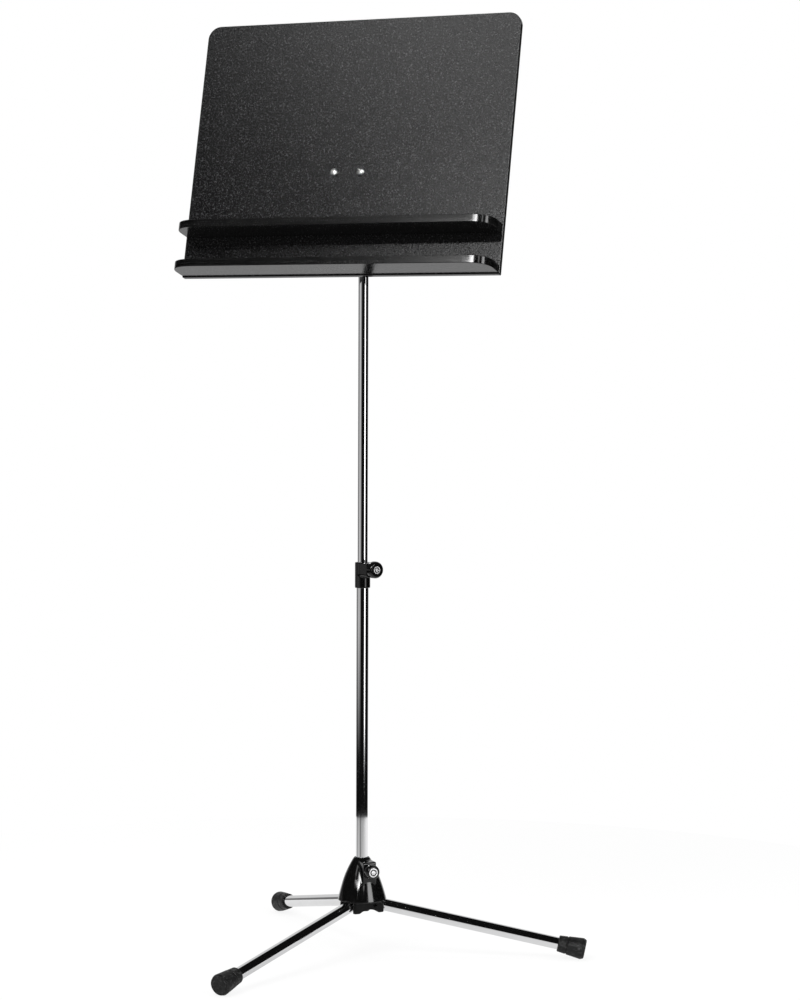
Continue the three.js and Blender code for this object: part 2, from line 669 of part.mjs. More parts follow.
/** A knob along +Z: neck, wide grip and a narrower face with a recess for its disc. */
function knobGeometry(grip, start, face, disc, core) {
  const neckR = grip * KNOB_NECK_SHARE;
  const shoulder = start + KNOB_NECK;
  const rim = (face - start) * KNOB_ROUND_SHARE;
  const outline = [[core, start], [neckR, start], [neckR, shoulder]];
  outline.push([grip - KNOB_EDGE, shoulder], [grip, shoulder + KNOB_EDGE]);
  const faceR = grip * KNOB_FACE_SHARE;
  for (let k = 0; k <= ARC_STEPS; k++) {
    const turn = (k / ARC_STEPS) * (Math.PI / 2);
    const r = faceR + (grip - faceR) * Math.cos(turn);
    outline.push([r, face - rim + rim * Math.sin(turn)]);
  }
  const recess = face - DISC_THICKNESS - SEAT;
  outline.push([disc + SEAT, face], [disc + SEAT, recess], [0, recess]);
  outline.push([0, recess - KNOB_WALL], [core, recess - KNOB_WALL], [core, start]);
  return turned(outline, FINE);
}

/** The bare metal disc in a knob's face, with one turned groove. */
function discGeometry(radius, face) {
  const { outer, inner, depth, flank } = DISC_GROOVE;
  const back = face - DISC_THICKNESS;
  const floor = face - depth;
  const outline = [[0, back], [radius, back], [radius, face - DISC_EDGE]];
  outline.push([radius - DISC_EDGE, face], [radius * outer, face]);
  outline.push([radius * (outer - flank), floor], [radius * (inner + flank), floor]);
  outline.push([radius * inner, face], [0, face]);
  return turned(outline, ROUND);
}

/** Insert, pad, screw, knob and disc of a clamp whose axis runs along +X at the given height. */
function makeClamp(prefix, insertName, angle, height, tubeR, bossFace, knob) {
  const radial = facing(angle);
  const place = (g) => alongX(g).translate(0, 0, height);
  const insertInner = bossFace - INSERT_LENGTH;
  const threadR = CLAMP_SCREW_R + RUN;
  const insert = tube(INSERT_R, threadR, insertInner, bossFace, ROUND);
  add(radial, insertName, place(insert), BRASS);

  // The pad's face is hollowed to the tube that it presses on.
  const padInner = tubeR + RUN;
  const padOuter = padInner + CLAMP_PAD_LENGTH;
  const pad = place(cylinder(CLAMP_PAD_R, PAST, padOuter, SMALL));
  const against = cylinder(padInner, height - 2 * CLAMP_PAD_R, height + 2 * CLAMP_PAD_R, SMOOTH);
  add(radial, `${prefix}_brake_pad`, cut(pad, against), NYLON);

  const knobStart = bossFace + RUN;
  const screwEnd = knob.faceRadial - knobFloor;
  const screw = cylinder(CLAMP_SCREW_R, padOuter + SEAT, screwEnd, SMALL);
  add(radial, `${prefix}_clamp_screw`, place(screw), ZINC_STEEL);

  const core = CLAMP_SCREW_R + SEAT;
  const grip = knobGeometry(knob.grip, knobStart, knob.faceRadial, knob.disc, core);
  add(radial, `${prefix}_knob`, place(grip), BLACK_PLASTIC);
  const disc = discGeometry(knob.disc, knob.faceRadial);
  add(radial, `${prefix}_knob_disc`, place(disc), SILVER_DISC);
}

// ---------- Column ----------

function makeColumn() {
  const lower = tube(LOWER_TUBE_R, lowerTubeBore, lowerTubeBottom, lowerTubeTop, SMOOTH);
  add(stand, "lower_tube", lower, CHROME);

  const foot = COLLAR_FOOT_BEVEL;
  const top = COLLAR_TOP_BEVEL;
  const body = [[0, COLLAR_BOTTOM], [COLLAR_R - foot, COLLAR_BOTTOM]];
  body.push([COLLAR_R, COLLAR_BOTTOM + foot], [COLLAR_R, COLLAR_TOP - top]);
  body.push([COLLAR_R - top, COLLAR_TOP], [0, COLLAR_TOP]);
  const { faceRadial, width, length, round, corner } = HEIGHT_BOSS;
  const low = COLLAR_TOP - length;
  const half = width / 2;
  const front = roundedOutline([
    [-half, low, round],
    [half, low, round],
    [half, COLLAR_TOP, corner],
    [-half, COLLAR_TOP, corner],
  ]);
  const boss = outward(front, faceRadial, SMALL_CORNER);
  const bores = clampBores(heightKnobZ, faceRadial);
  const tubeSeat = cylinder(LOWER_TUBE_R + SEAT, COLLAR_BOTTOM - PAST, lowerTubeTop + SEAT);
  const bushR = LOWER_TUBE_R + BUSH_SHOULDER;
  const bushSeat = cylinder(bushR + SEAT, lowerTubeTop, COLLAR_TOP + PAST);
  const collar = join(turned(body, SMOOTH), turnedTo(boss, HEIGHT_CLAMP_ANGLE));
  const placed = bores.map((bore) => turnedTo(bore, HEIGHT_CLAMP_ANGLE));
  add(stand, "height_collar", cut(collar, tubeSeat, bushSeat, ...placed), BLACK_PLASTIC);

  const bushBottom = lowerTubeTop + 2 * SEAT;
  const bush = tube(bushR, UPPER_TUBE_R + RUN, bushBottom, COLLAR_TOP - BUSH_DOWN);
  const way = turnedTo(clampBores(heightKnobZ, faceRadial)[1], HEIGHT_CLAMP_ANGLE);
  add(stand, "collar_bush", cut(bush, way), NYLON);
}

function makeMast() {
  const upper = tube(UPPER_TUBE_R, upperTubeBore, UPPER_TUBE_BOTTOM, upperTubeTop);
  const pinHeight = PIVOT_Z - HEAD_NECK - HEAD_SOCKET_LENGTH / 2;
  const crossReach = HEAD_SOCKET_R + PAST;
  const crossBore = alongX(cylinder(HEAD_PIN_R + SEAT, -crossReach, crossReach, SMALL));
  crossBore.translate(0, 0, pinHeight);
  add(stand, "upper_tube", cut(upper, crossBore), CHROME);

  const socketBottom = PIVOT_Z - HEAD_NECK - HEAD_SOCKET_LENGTH;
  const neckHalf = HEAD_NECK_WIDTH / 2;
  const socket = turned([
    [0, socketBottom],
    [HEAD_SOCKET_R - HEAD_BEVEL, socketBottom],
    [HEAD_SOCKET_R, socketBottom + HEAD_BEVEL],
    [HEAD_SOCKET_R, PIVOT_Z - HEAD_NECK],
    [neckHalf, PIVOT_Z],
    [0, PIVOT_Z],
  ]);
  const barrel = alongX(cylinder(HEAD_BARREL_R, -HEAD_HALF_WIDTH, HEAD_HALF_WIDTH));
  const neck = block(-neckHalf, neckHalf, -neckHalf, neckHalf, PIVOT_Z - HEAD_NECK, PIVOT_Z);
  const bore = cylinder(UPPER_TUBE_R + SEAT, socketBottom - PAST, PIVOT_Z - HEAD_NECK);
  const boltReach = HEAD_HALF_WIDTH + PAST;
  const boltBore = alongX(cylinder(TILT_BOLT_R + RUN, -boltReach, boltReach, SMALL));
  const head = join(socket, barrel.translate(0, 0, PIVOT_Z), neck);
  const drilled = cut(head, bore, boltBore.translate(0, 0, PIVOT_Z), crossBore);
  add(stand, "tilt_head", drilled, BLACK_STEEL);

  const pin = alongX(cylinder(HEAD_PIN_R, -HEAD_SOCKET_R, HEAD_SOCKET_R, SMALL));
  add(stand, "head_pin", pin.translate(0, 0, pinHeight), ZINC_STEEL);

  const flangeTop = UPPER_TUBE_BOTTOM - SEAT;
  const flangeR = lowerTubeBore - RUN;
  const stemR = upperTubeBore - RUN;
  const boreR = stemR - BUSH_WALL;
  const flangeBottom = flangeTop - BUSH_FLANGE;
  const bush = turned([
    [boreR, flangeBottom],
    [flangeR - BUSH_BEVEL, flangeBottom],
    [flangeR, flangeBottom + BUSH_BEVEL],
    [flangeR, flangeTop],
    [stemR, flangeTop],
    [stemR, flangeTop + BUSH_STEM],
    [boreR, flangeTop + BUSH_STEM],
    [boreR, flangeBottom],
  ]);
  add(stand, "guide_bush", bush, NYLON);
}

// ---------- Desk ----------
// Built about the tilt axis: X across, Y from the player to the back, Z up the panel.

const panelBack = -PIVOT_TO_PANEL;
const panelFront = panelBack - PANEL_THICKNESS;
const panelBottom = -PIVOT_UP_PANEL;
const panelTop = panelBottom + DESK_HEIGHT;
const trayBottom = panelBottom + TRAY_LIFT;
const shelfBottom = trayBottom + LEDGE_PITCH;

/** Stands an outline drawn in X and Z up, from one depth to another. */
function upright(shape, front, back, facets = CORNER) {
  return plate(shape, -back, -front, facets).rotateX(Math.PI / 2);
}

function boltBores(radius) {
  return [-1, 1].map((side) => {
    const bore = alongMinusY(cylinder(radius, 0, FAR + PIVOT_TO_PANEL, SMALL));
    return bore.translate((side * BOLT_SPACING) / 2, 0, 0);
  });
}

function screwPlaces() {
  const step = LEDGE_SCREW_SPREAD / (LEDGE_SCREWS - 1);
  return Array.from({ length: LEDGE_SCREWS }, (_, i) => i * step - LEDGE_SCREW_SPREAD / 2);
}

/** A countersunk screw along -Y, or the hole for it when it is given a clearance. */
function ledgeScrew(x, ledgeBottom, clearance) {
  const head = WOOD_SCREW_HEAD_R + clearance;
  const shank = WOOD_SCREW_R + clearance;
  const sink = -panelBack + WOOD_SCREW_SINK;
  const back = clearance ? -panelBack - PAST : sink;
  const cone = sink + WOOD_SCREW_RIM;
  const tip = sink + WOOD_SCREW_LENGTH + clearance;
  const profile = [[0, back], [head, back], [head, cone], [shank, cone + head - shank]];
  profile.push([shank, tip - WOOD_SCREW_POINT], [clearance + WOOD_SCREW_TIP_R, tip], [0, tip]);
  const screw = alongMinusY(turned(profile, SMALL));
  return screw.translate(x, 0, ledgeBottom + LEDGE_THICKNESS / 2);
}

function ledgeGeometry(bottom) {
  const half = DESK_WIDTH / 2 - LEDGE_SIDE_INSET;
  const back = panelFront - SEAT;
  const front = back - LEDGE_DEPTH;
  const outline = roundedOutline([
    [-half, front, LEDGE_CORNER],
    [half, front, LEDGE_CORNER],
    [half, back, 0],
    [-half, back, 0],
  ]);
  const board = plate(outline, bottom, bottom + LEDGE_THICKNESS);
  return cut(board, ...screwPlaces().map((x) => ledgeScrew(x, bottom, SEAT)));
}

function makeBoards(desk) {
  const half = DESK_WIDTH / 2;
  const outline = roundedOutline([
    [-half, panelBottom, 0],
    [half, panelBottom, 0],
    [half, panelTop, PANEL_CORNER],
    [-half, panelTop, PANEL_CORNER],
  ]);
  const holes = [trayBottom, shelfBottom].flatMap((bottom) =>
    screwPlaces().map((x) => ledgeScrew(x, bottom, SEAT)),
  );
  const board = upright(outline, panelFront, panelBack);
  add(desk, "desk_panel", cut(board, ...boltBores(BOLT_R + SEAT), ...holes), BLACK_WOOD);
  add(desk, "lower_tray", ledgeGeometry(trayBottom), BLACK_WOOD);
  add(desk, "upper_shelf", ledgeGeometry(shelfBottom), BLACK_WOOD);
  screwPlaces().forEach((x, i) => {
    add(desk, `tray_screw_${i + 1}`, ledgeScrew(x, trayBottom, 0), ZINC_STEEL);
    add(desk, `shelf_screw_${i + 1}`, ledgeScrew(x, shelfBottom, 0), ZINC_STEEL);
  });
}

const earInner = HEAD_HALF_WIDTH + FRICTION_DISC + 2 * SEAT;
const earOuter = earInner + BRACKET_SHEET;

/** An ear in side view: wide at the plate, round about the tilt axis. */
function earGeometry(side) {
  const root = panelBack + SEAT;
  const r = EAR_WIDTH / 2;
  const rootHalf = EAR_ROOT_WIDTH / 2;
  // The straight flanks leave the round end where they are tangent to it.
  const lean = Math.atan2(rootHalf - r, -root);
  const start = Math.PI / 2 + lean;
  const shape = new THREE.Shape();
  shape.absarc(0, 0, r, -start, start, false);
  shape.lineTo(root, rootHalf);
  shape.lineTo(root, -rootHalf);
  shape.closePath();
  const x = side > 0 ? earInner : -earOuter;
  // Outline X to Y and outline Y to Z, with the sheet's thickness along X.
  const ear = outward(shape, BRACKET_SHEET);
  return ear.translate(x, 0, 0);
}

function makeBracket(desk) {
  const half = BRACKET_WIDTH / 2;
  const high = BRACKET_HEIGHT / 2;
  const outline = roundedOutline([
    [-half, -high, BRACKET_CORNER],
    [half, -high, BRACKET_CORNER],
    [half, high, BRACKET_CORNER],
    [-half, high, BRACKET_CORNER],
  ]);
  const plateBack = panelBack + SEAT + BRACKET_SHEET;
  const sheet = upright(outline, panelBack + SEAT, plateBack, SMALL_CORNER);
  const wide = earInner - BRACKET_WINDOW_IN;
  const tall = EAR_ROOT_WIDTH / 2;
  const window = block(-wide, wide, panelBack - PAST, plateBack + PAST, -tall, tall);
  const reach = earOuter + PAST;
  const tiltBore = alongX(cylinder(TILT_BOLT_R + SEAT, -reach, reach, SMALL));
  const ears = join(sheet, earGeometry(-1), earGeometry(1));
  const bracket = cut(ears, window, tiltBore, ...boltBores(BOLT_R + SEAT));
  add(desk, "tilt_bracket", bracket, BLACK_STEEL);

  for (const [side, place] of [[-1, "left"], [1, "right"]]) {
    makeDeskBolt(desk, side, place, plateBack);
    const inner = HEAD_HALF_WIDTH + SEAT;
    const disc = tube(HEAD_BARREL_R, TILT_BOLT_R + RUN, inner, inner + FRICTION_DISC, FINE);
    alongX(disc).scale(side, 1, 1);
    add(desk, `friction_washer_${place}`, toGeometry(toSolid(disc)), NYLON);
  }
}

/** A domed bolt through the panel and the bracket, and its nut behind. */
function makeDeskBolt(desk, side, place, plateBack) {
  const x = (side * BOLT_SPACING) / 2;
  const headBack = -panelFront + SEAT;
  const nutFront = -plateBack - SEAT;
  const end = nutFront - BOLT_NUT_HEIGHT - BOLT_BEYOND_NUT;
  const domeStart = headBack + BOLT_HEAD_RIM;
  const profile = [[0, end], [BOLT_R, end], [BOLT_R, headBack], [BOLT_HEAD_R, headBack]];
  profile.push([BOLT_HEAD_R, domeStart]);
  for (let k = 1; k <= ARC_STEPS; k++) {
    const turn = (k / ARC_STEPS) * (Math.PI / 2);
    const dome = (BOLT_HEAD_HEIGHT - BOLT_HEAD_RIM) * Math.sin(turn);
    profile.push([BOLT_HEAD_R * Math.cos(turn), domeStart + dome]);
  }
  const bolt = alongMinusY(turned(profile, ROUND)).translate(x, 0, 0);
  const top = headBack + BOLT_HEAD_HEIGHT;
  const { width, depth } = BOLT_SLOT;
  const slot = block(x - width / 2, x + width / 2, -top - PAST, depth - top, -FAR, FAR);
  add(desk, `bracket_bolt_${place}`, cut(bolt, slot), CHROME);

  const nutR = BOLT_NUT_FLATS / 2 / Math.cos(Math.PI / 6);
  const nut = cylinder(nutR, nutFront - BOLT_NUT_HEIGHT, nutFront, 6);
  const thread = cylinder(BOLT_R + SEAT, 0, nutFront + PAST, SMALL);
  add(desk, `bracket_nut_${place}`, alongMinusY(cut(nut, thread)).translate(x, 0, 0), ZINC_STEEL);
}

/** The tilt bolt with its head at -X, and its washer, knob, insert and disc at +X. */
function makeTiltClamp(desk) {
  const washerStart = earOuter + SEAT;
  const knobStart = washerStart + TILT_WASHER + RUN;
  const face = knobStart + TILT_KNOB.length;
  const boltEnd = face - knobFloor;
  const headStart = -earOuter - SEAT;
  const headEnd = headStart - TILT_BOLT_HEAD_HEIGHT;
  const bevel = TILT_BOLT_HEAD_BEVEL;
  const head = [[0, headEnd], [TILT_BOLT_HEAD_R - bevel, headEnd]];
  head.push([TILT_BOLT_HEAD_R, headEnd + bevel], [TILT_BOLT_HEAD_R, headStart]);
  head.push([TILT_BOLT_R, headStart], [TILT_BOLT_R, boltEnd], [0, boltEnd]);
  add(desk, "tilt_bolt", alongX(turned(head, ROUND)), ZINC_STEEL);

  const washerEnd = washerStart + TILT_WASHER;
  const washer = tube(TILT_BOLT_HEAD_R, TILT_BOLT_R + RUN, washerStart, washerEnd, ROUND);
  add(desk, "tilt_washer", alongX(washer), ZINC_STEEL);

  const insertBore = TILT_BOLT_R + RUN;
  const insertR = insertBore + TILT_INSERT_WALL;
  const core = insertR + SEAT;
  const insert = tube(insertR, insertBore, knobStart, boltEnd - SEAT, ROUND);
  add(desk, "tilt_knob_insert", alongX(insert), BRASS);
  const knob = knobGeometry(TILT_KNOB.grip, knobStart, face, TILT_KNOB.disc, core);
  add(desk, "tilt_knob", alongX(knob), BLACK_PLASTIC);
  add(desk, "tilt_knob_disc", alongX(discGeometry(TILT_KNOB.disc, face)), SILVER_DISC);
}

function makeDesk() {
  const desk = new THREE.Group();
  desk.position.set(0, 0, PIVOT_Z);
  desk.rotation.x = -deg(DESK_TILT);
  stand.add(desk);
  makeBoards(desk);
  makeBracket(desk);
  makeTiltClamp(desk);
}

// ---------- The stand ----------

legAngles.forEach((angle, i) => {
  makeLeg(i + 1, angle);
  makeHingePin(i + 1, angle);
});
makeSpider();
makeTubeFoot();
makeHub();
makeColumn();
const hubFace = BASE_BOSS.faceRadial;
makeClamp("base", "hub_insert", baseClampAngle, baseKnobZ, LOWER_TUBE_R, hubFace, BASE_KNOB);
const collarFace = HEIGHT_BOSS.faceRadial;
makeClamp("height", "height_insert", HEIGHT_CLAMP_ANGLE, heightKnobZ, UPPER_TUBE_R, collarFace, HEIGHT_KNOB);
makeMast();
makeDesk();

export default stand;
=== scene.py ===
"""Looks of an orchestra music stand: a black wooden desk with two ledges on a telescopic chromed
column, over a folding three-leg base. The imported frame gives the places; the sizes of the pieces that
stand for CAD nodes are named below in millimetres. +Z is up and the player stands on the -Y side."""
import itertools
import json
import math

import bmesh
import bpy
import numpy as np
from mathutils import Matrix, Vector


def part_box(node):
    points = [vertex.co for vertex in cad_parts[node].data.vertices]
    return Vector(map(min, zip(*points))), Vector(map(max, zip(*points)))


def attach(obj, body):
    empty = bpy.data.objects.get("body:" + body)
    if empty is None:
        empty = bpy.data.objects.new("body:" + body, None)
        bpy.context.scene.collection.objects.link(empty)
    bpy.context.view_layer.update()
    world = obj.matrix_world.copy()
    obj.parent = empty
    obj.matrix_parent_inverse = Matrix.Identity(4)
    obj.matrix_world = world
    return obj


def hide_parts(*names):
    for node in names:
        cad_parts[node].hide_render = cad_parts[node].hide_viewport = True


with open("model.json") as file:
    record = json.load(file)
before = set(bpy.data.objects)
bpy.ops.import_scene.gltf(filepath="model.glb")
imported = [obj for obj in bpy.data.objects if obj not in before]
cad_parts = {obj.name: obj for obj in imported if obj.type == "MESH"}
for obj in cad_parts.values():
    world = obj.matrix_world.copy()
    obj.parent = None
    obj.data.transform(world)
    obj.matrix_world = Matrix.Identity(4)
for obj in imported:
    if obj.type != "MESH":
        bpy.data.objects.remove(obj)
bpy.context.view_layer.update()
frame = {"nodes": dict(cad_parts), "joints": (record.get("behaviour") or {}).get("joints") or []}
joints = {joint["name"]: joint for joint in frame["joints"]}

MM = 0.001
SMOOTH = 96  # facets round a tube or a knob
FINE = 48  # facets round a screw

# ---------- Sizes, in millimetres and degrees ----------

DESK_TILT = 14.0
LEG_SLOPE = 11.3
CLEARANCE = 0.3

PANEL_CORNER = 20.5
PANEL_ARRIS = 0.9
LEDGE_RUN = 40.0  # how far the bend of a ledge's corner reaches along its front
LEDGE_SIDE = 34.0  # and along its end
LEDGE_ARRIS = 1.3

UPPER_TUBE_BORE = 8.3  # radius of what fits over the upper tube
LOWER_TUBE_BORE = 9.8  # and over the lower one
TUBE_WALL = 1.2
LEG_TUBE_R = 9.5
LEG_WAY = LEG_TUBE_R + CLEARANCE  # radius or half width of what a leg lies in
LEG_REACH = 333.5
LEG_ROOT_R = 10.3
LEG_HEEL = 8.9
PIN_RADIAL = 24.0
PIN_R = 2.5
PIN_RIM_R = 3.2
PIN_RIM_HEIGHT = 0.7
PIN_BORE_R = 1.9
PIN_BORE_DEPTH = 5.0

CAP_LENGTH = 43.0
CAP_R = 16.6
CAP_SMALL_R = 12.9
CAP_GROOVE = 0.33  # where its groove lies, as a share of its length
CAP_FLOOR = 8.0
CAP_EDGE = 5.0

SPIDER = {"leg_face": 36.0, "web_face": 31.0, "down": 11.5, "up": 5.4, "arch": 5.8, "wall": 3.0}
EAR_R = 6.5
SPIDER_FLOOR = 6.5  # how thick the spider is under the lower tube
SPIDER_SCREW = {"head": 5.3, "depth": 3.5, "shank": 2.8}
SLEEVE_R = 13.1
HUB = {"height": 67.0, "rim": 39.1, "top": 11.6, "wall": 3.0}
HUB_BELLY = (38.0, 29.4)  # height and radius where the bell's tangents at rim and neck meet
HUB_NECK = (63.5, 14.0)
HUB_VALLEY = 37.7  # distance of the broad faces between the legs, at the rim
HUB_VALLEY_LEAN = 0.235  # how much they lean in, per millimetre of height
HUB_VALLEY_ROUND = 60.0  # radius of their gentle crown
HUB_SLEEVE_R = 13.0
HUB_SLEEVE_START = 7.5
HUB_ARCH_R = 13.0
BASE_BOSS = {"face": 32.0, "half": 10.75, "top": 63.0, "bottom": 27.6, "arch": 5.1, "chamfer": 1.2}
HEIGHT_BOSS = {"face": 26.5, "half": 10.5, "length": 22.6, "round": 5.0}
COLLAR_R = 12.0
COLLAR_BUSH_R = 10.6
PAD_WAY_R = 3.9
INSERT_SEAT_R = 5.3
INSERT_LENGTH = 9.0

KNOB_NECK = 3.0
DISC_THICKNESS = 1.2
BASE_KNOB = {"grip": 11.75, "start": 32.3, "face": 46.5, "disc": 7.2, "core": 3.3}
HEIGHT_KNOB = {"grip": 13.2, "start": 26.8, "face": 40.5, "disc": 5.8, "core": 3.3}
TILT_KNOB = {"grip": 15.0, "start": 17.5, "face": 35.5, "disc": 6.5, "core": 6.1}

HEAD = {"barrel": 12.0, "half": 11.0, "socket": 11.0, "socket_length": 32.0, "neck": 18.0, "waist": 9.0}
BRACKET = {"sheet": 2.5, "half": 35.0, "high": 32.0, "ear_r": 13.0, "ear_root": 23.0, "ear_inner": 12.8}
TILT_BOLT_BORE = 4.3
HEAD_PIN_BORE = 2.3
BOLT_SPACING = 44.0
BOLT = {"shank": 3.0, "head": 6.4, "height": 3.2}
SCREW_HEAD_R = 3.6


# ---------- Places ----------


def place(x=0.0, y=0.0, z=0.0):
    """A shift given in millimetres."""
    return Matrix.Translation(Vector((x, y, z)) * MM)


def turn(degrees, axis):
    return Matrix.Rotation(math.radians(degrees), 4, axis)


def joint_place(name):
    return Vector(joints[name]["pos_m"]) / MM


def heading(point):
    """Direction of a point seen from the column's axis, in degrees from +X."""
    return math.degrees(math.atan2(point[1], point[0]))


def heights(node):
    """Lowest and highest point of a CAD node above the floor."""
    return [corner[2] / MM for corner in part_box(node)]


TILT_AXIS = joint_place("desk_tilt")
PINS = [joint_place(f"leg_fold_{i}") for i in (1, 2, 3)]
LEG_ANGLES = [heading(pin) for pin in PINS]
PIN_Z = PINS[0].z
BASE_CLAMP = joint_place("base_knob_turn")
HEIGHT_CLAMP = joint_place("height_knob_turn")
HUB_LOW, HUB_HIGH = heights("base_hub")
COLLAR_LOW, COLLAR_HIGH = heights("height_collar")
LOWER_TUBE_TOP = heights("lower_tube")[1]
VALLEY_TURN = 60.0  # from a leg to the middle between two legs

STAND = Matrix.Identity(4)
DESK = place(*TILT_AXIS) @ turn(-DESK_TILT, "X")
ALONG_X = turn(90, "Y")
ALONG_MINUS_Y = turn(90, "X")


def clamp_frame(clamp):
    """A clamp's frame: its origin on the column's axis, +Z outwards through the knob."""
    return turn(heading(clamp), "Z") @ place(0, 0, clamp.z) @ ALONG_X


def extent(node, where=DESK):
    """Lowest and highest corners of a CAD node in a frame, in millimetres."""
    inverse = where.inverted()
    points = [inverse @ vertex.co / MM for vertex in frame["nodes"][node].data.vertices]
    return [Vector([pick(axis) for axis in zip(*points)]) for pick in (min, max)]


def back_end(low, high, height=0.0):
    """A frame at the back end of a desk node's extent, its +Z towards the player."""
    return DESK @ place((low.x + high.x) / 2, high.y, height) @ ALONG_MINUS_Y


# ---------- Mesh helpers, in millimetres ----------


def corner_arc(before, corner, after, radius, steps):
    """Points of the arc that rounds a corner."""
    back = (before - corner).normalized()
    ahead = (after - corner).normalized()
    half = back.angle(ahead) / 2
    reach = radius / math.tan(half)
    centre = corner + (back + ahead).normalized() * (radius / math.sin(half))
    start = corner + back * reach - centre
    end = corner + ahead * reach - centre
    sweep = start.angle_signed(end)
    return [centre + Matrix.Rotation(-sweep * k / steps, 2) @ start for k in range(steps + 1)]


def rounded(corners, closed=False, steps=4):
    """An outline through (x, y) or (x, y, radius) corners, each rounded by its radius."""
    points = []
    count = len(corners)
    for i, (x, y, *radius) in enumerate(corners):
        here = Vector((x, y))
        at_end = not closed and i in (0, count - 1)
        if at_end or not radius:
            points.append(here)
            continue
        before = Vector(corners[i - 1][:2])
        after = Vector(corners[(i + 1) % count][:2])
        points.extend(corner_arc(before, here, after, *radius, steps))
    return points


def lathe(profile, facets=SMOOTH):
    """A surface of revolution about Z through (radius, height) points."""
    bm = bmesh.new()
    closed = (Vector(profile[0]) - Vector(profile[-1])).length < 1e-6
    rings = []
    for radius, height in profile[: -1 if closed else None]:
        around = 1 if radius < 1e-6 else facets
        angles = [2 * math.pi * i / facets for i in range(around)]
        rings.append([bm.verts.new((radius * math.cos(a), radius * math.sin(a), height)) for a in angles])
    if closed:
        rings.append(rings[0])
    for lower, upper in zip(rings, rings[1:]):
        for i in range(facets):
            j = (i + 1) % facets
            corners = (lower, i), (lower, j), (upper, j), (upper, i)
            loop = list(dict.fromkeys(ring[k % len(ring)] for ring, k in corners))
            if len(loop) > 2:
                bm.faces.new(loop)
    return bm


def prism(outline, low, high):
    """An outline in X and Y, extruded along Z."""
    bm = bmesh.new()
    bottom = [bm.verts.new((x, y, low)) for x, y in outline]
    top = [bm.verts.new((x, y, high)) for x, y in outline]
    bm.faces.new(bottom[::-1])
    bm.faces.new(top)
    for i in range(len(outline)):
        j = (i + 1) % len(outline)
        bm.faces.new((bottom[i], bottom[j], top[j], top[i]))
    return bm


def block(x0, x1, y0, y1, z0, z1):
    return prism([(x0, y0), (x1, y0), (x1, y1), (x0, y1)], z0, z1)


def cylinder(radius, low, high, facets=SMOOTH):
    return lathe([(0, low), (radius, low), (radius, high), (0, high)], facets)


def moved(bm, matrix):
    """Moves a mesh, built in millimetres, by a matrix whose shifts are in metres."""
    local = matrix.copy()
    local.translation = matrix.translation / MM
    bmesh.ops.transform(bm, matrix=local, verts=bm.verts)
    return bm


def add_object(name, data, where):
    made = bpy.data.objects.new(name, data)
    bpy.context.scene.collection.objects.link(made)
    made.matrix_world = where
    return made


def piece(name, bm, where=STAND):
    """An object from a mesh built in millimetres."""
    bmesh.ops.recalc_face_normals(bm, faces=bm.faces)
    bmesh.ops.scale(bm, vec=(MM, MM, MM), verts=bm.verts)
    mesh = bpy.data.meshes.new(name)
    bm.to_mesh(mesh)
    bm.free()
    return add_object(name, mesh, where)


def apply_modifiers(made):
    bpy.context.view_layer.update()
    graph = bpy.context.evaluated_depsgraph_get()
    mesh = bpy.data.meshes.new_from_object(made.evaluated_get(graph))
    made.modifiers.clear()
    made.data = mesh


def boolean(made, operation, tool):
    """Combines a piece with another one, which goes."""
    step = made.modifiers.new("combine", "BOOLEAN")
    step.operation = operation
    step.solver = "EXACT"
    step.object = tool
    apply_modifiers(made)
    bpy.data.objects.remove(tool)


def cut(made, *tools):
    """Cuts meshes, built in the piece's own frame, out of it."""
    for bm in tools:
        boolean(made, "DIFFERENCE", piece("tool", bm, made.matrix_world))


def join(made, *tools):
    """Joins meshes, built in the piece's own frame, to it."""
    for bm in tools:
        boolean(made, "UNION", piece("tool", bm, made.matrix_world))


def keep(made, first, *others):
    """Keeps what a piece shares with the union of some meshes."""
    tool = piece("keeper", first, made.matrix_world)
    join(tool, *others)
    boolean(made, "INTERSECT", tool)


def soften(made, width, segments=4, angle=30):
    """Rounds a piece's sharp edges."""
    step = made.modifiers.new("soften", "BEVEL")
    step.width = width * MM
    step.segments = segments
    step.limit_method = "ANGLE"
    step.angle_limit = math.radians(angle)
    step.miter_outer = "MITER_ARC"
    apply_modifiers(made)


def shade(made):
    """Smooth shading that keeps sharp edges sharp and flat faces flat."""
    made.data.shade_smooth()
    made.data.set_sharp_from_angle(angle=math.radians(35))
    step = made.modifiers.new("even", "WEIGHTED_NORMAL")
    step.keep_sharp = True
    apply_modifiers(made)


def paint(made, *materials):
    made.data.materials.clear()
    for each in materials:
        made.data.materials.append(each)


def dress(made, body, slot, stands_for, *materials):
    """Gives a piece its materials, smooth shading and body, and hides the CAD nodes that it stands for."""
    paint(made, *materials)
    shade(made)
    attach(made, body)
    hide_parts(*stands_for)


# ---------- Moulded pieces, from fields of signed distances ----------


def smooth_min(a, b, blend):
    near = np.maximum(blend - np.abs(a - b), 0) / blend
    return np.minimum(a, b) - near * near * blend / 4


def smooth_max(a, b, blend):
    return -smooth_min(-a, -b, blend)


def common(blend, *fields):
    """The solid that several solids share, with its edges rounded."""
    total = fields[0]
    for field in fields[1:]:
        total = smooth_max(total, field, blend)
    return total


def spun(p, angle):
    """Coordinates in a frame that is turned about Z by an angle in degrees."""
    c, s = math.cos(math.radians(angle)), math.sin(math.radians(angle))
    x, y, z = np.moveaxis(p, -1, 0)
    return c * x + s * y, c * y - s * x, z


def crossed_cells(inside):
    """Which grid cells the surface crosses: some of a cell's eight corners are inside, but not all."""
    count = np.zeros([n - 1 for n in inside.shape], int)
    for corner in itertools.product((slice(None, -1), slice(1, None)), repeat=3):
        count += inside[corner]
    return (count > 0) & (count < 8)


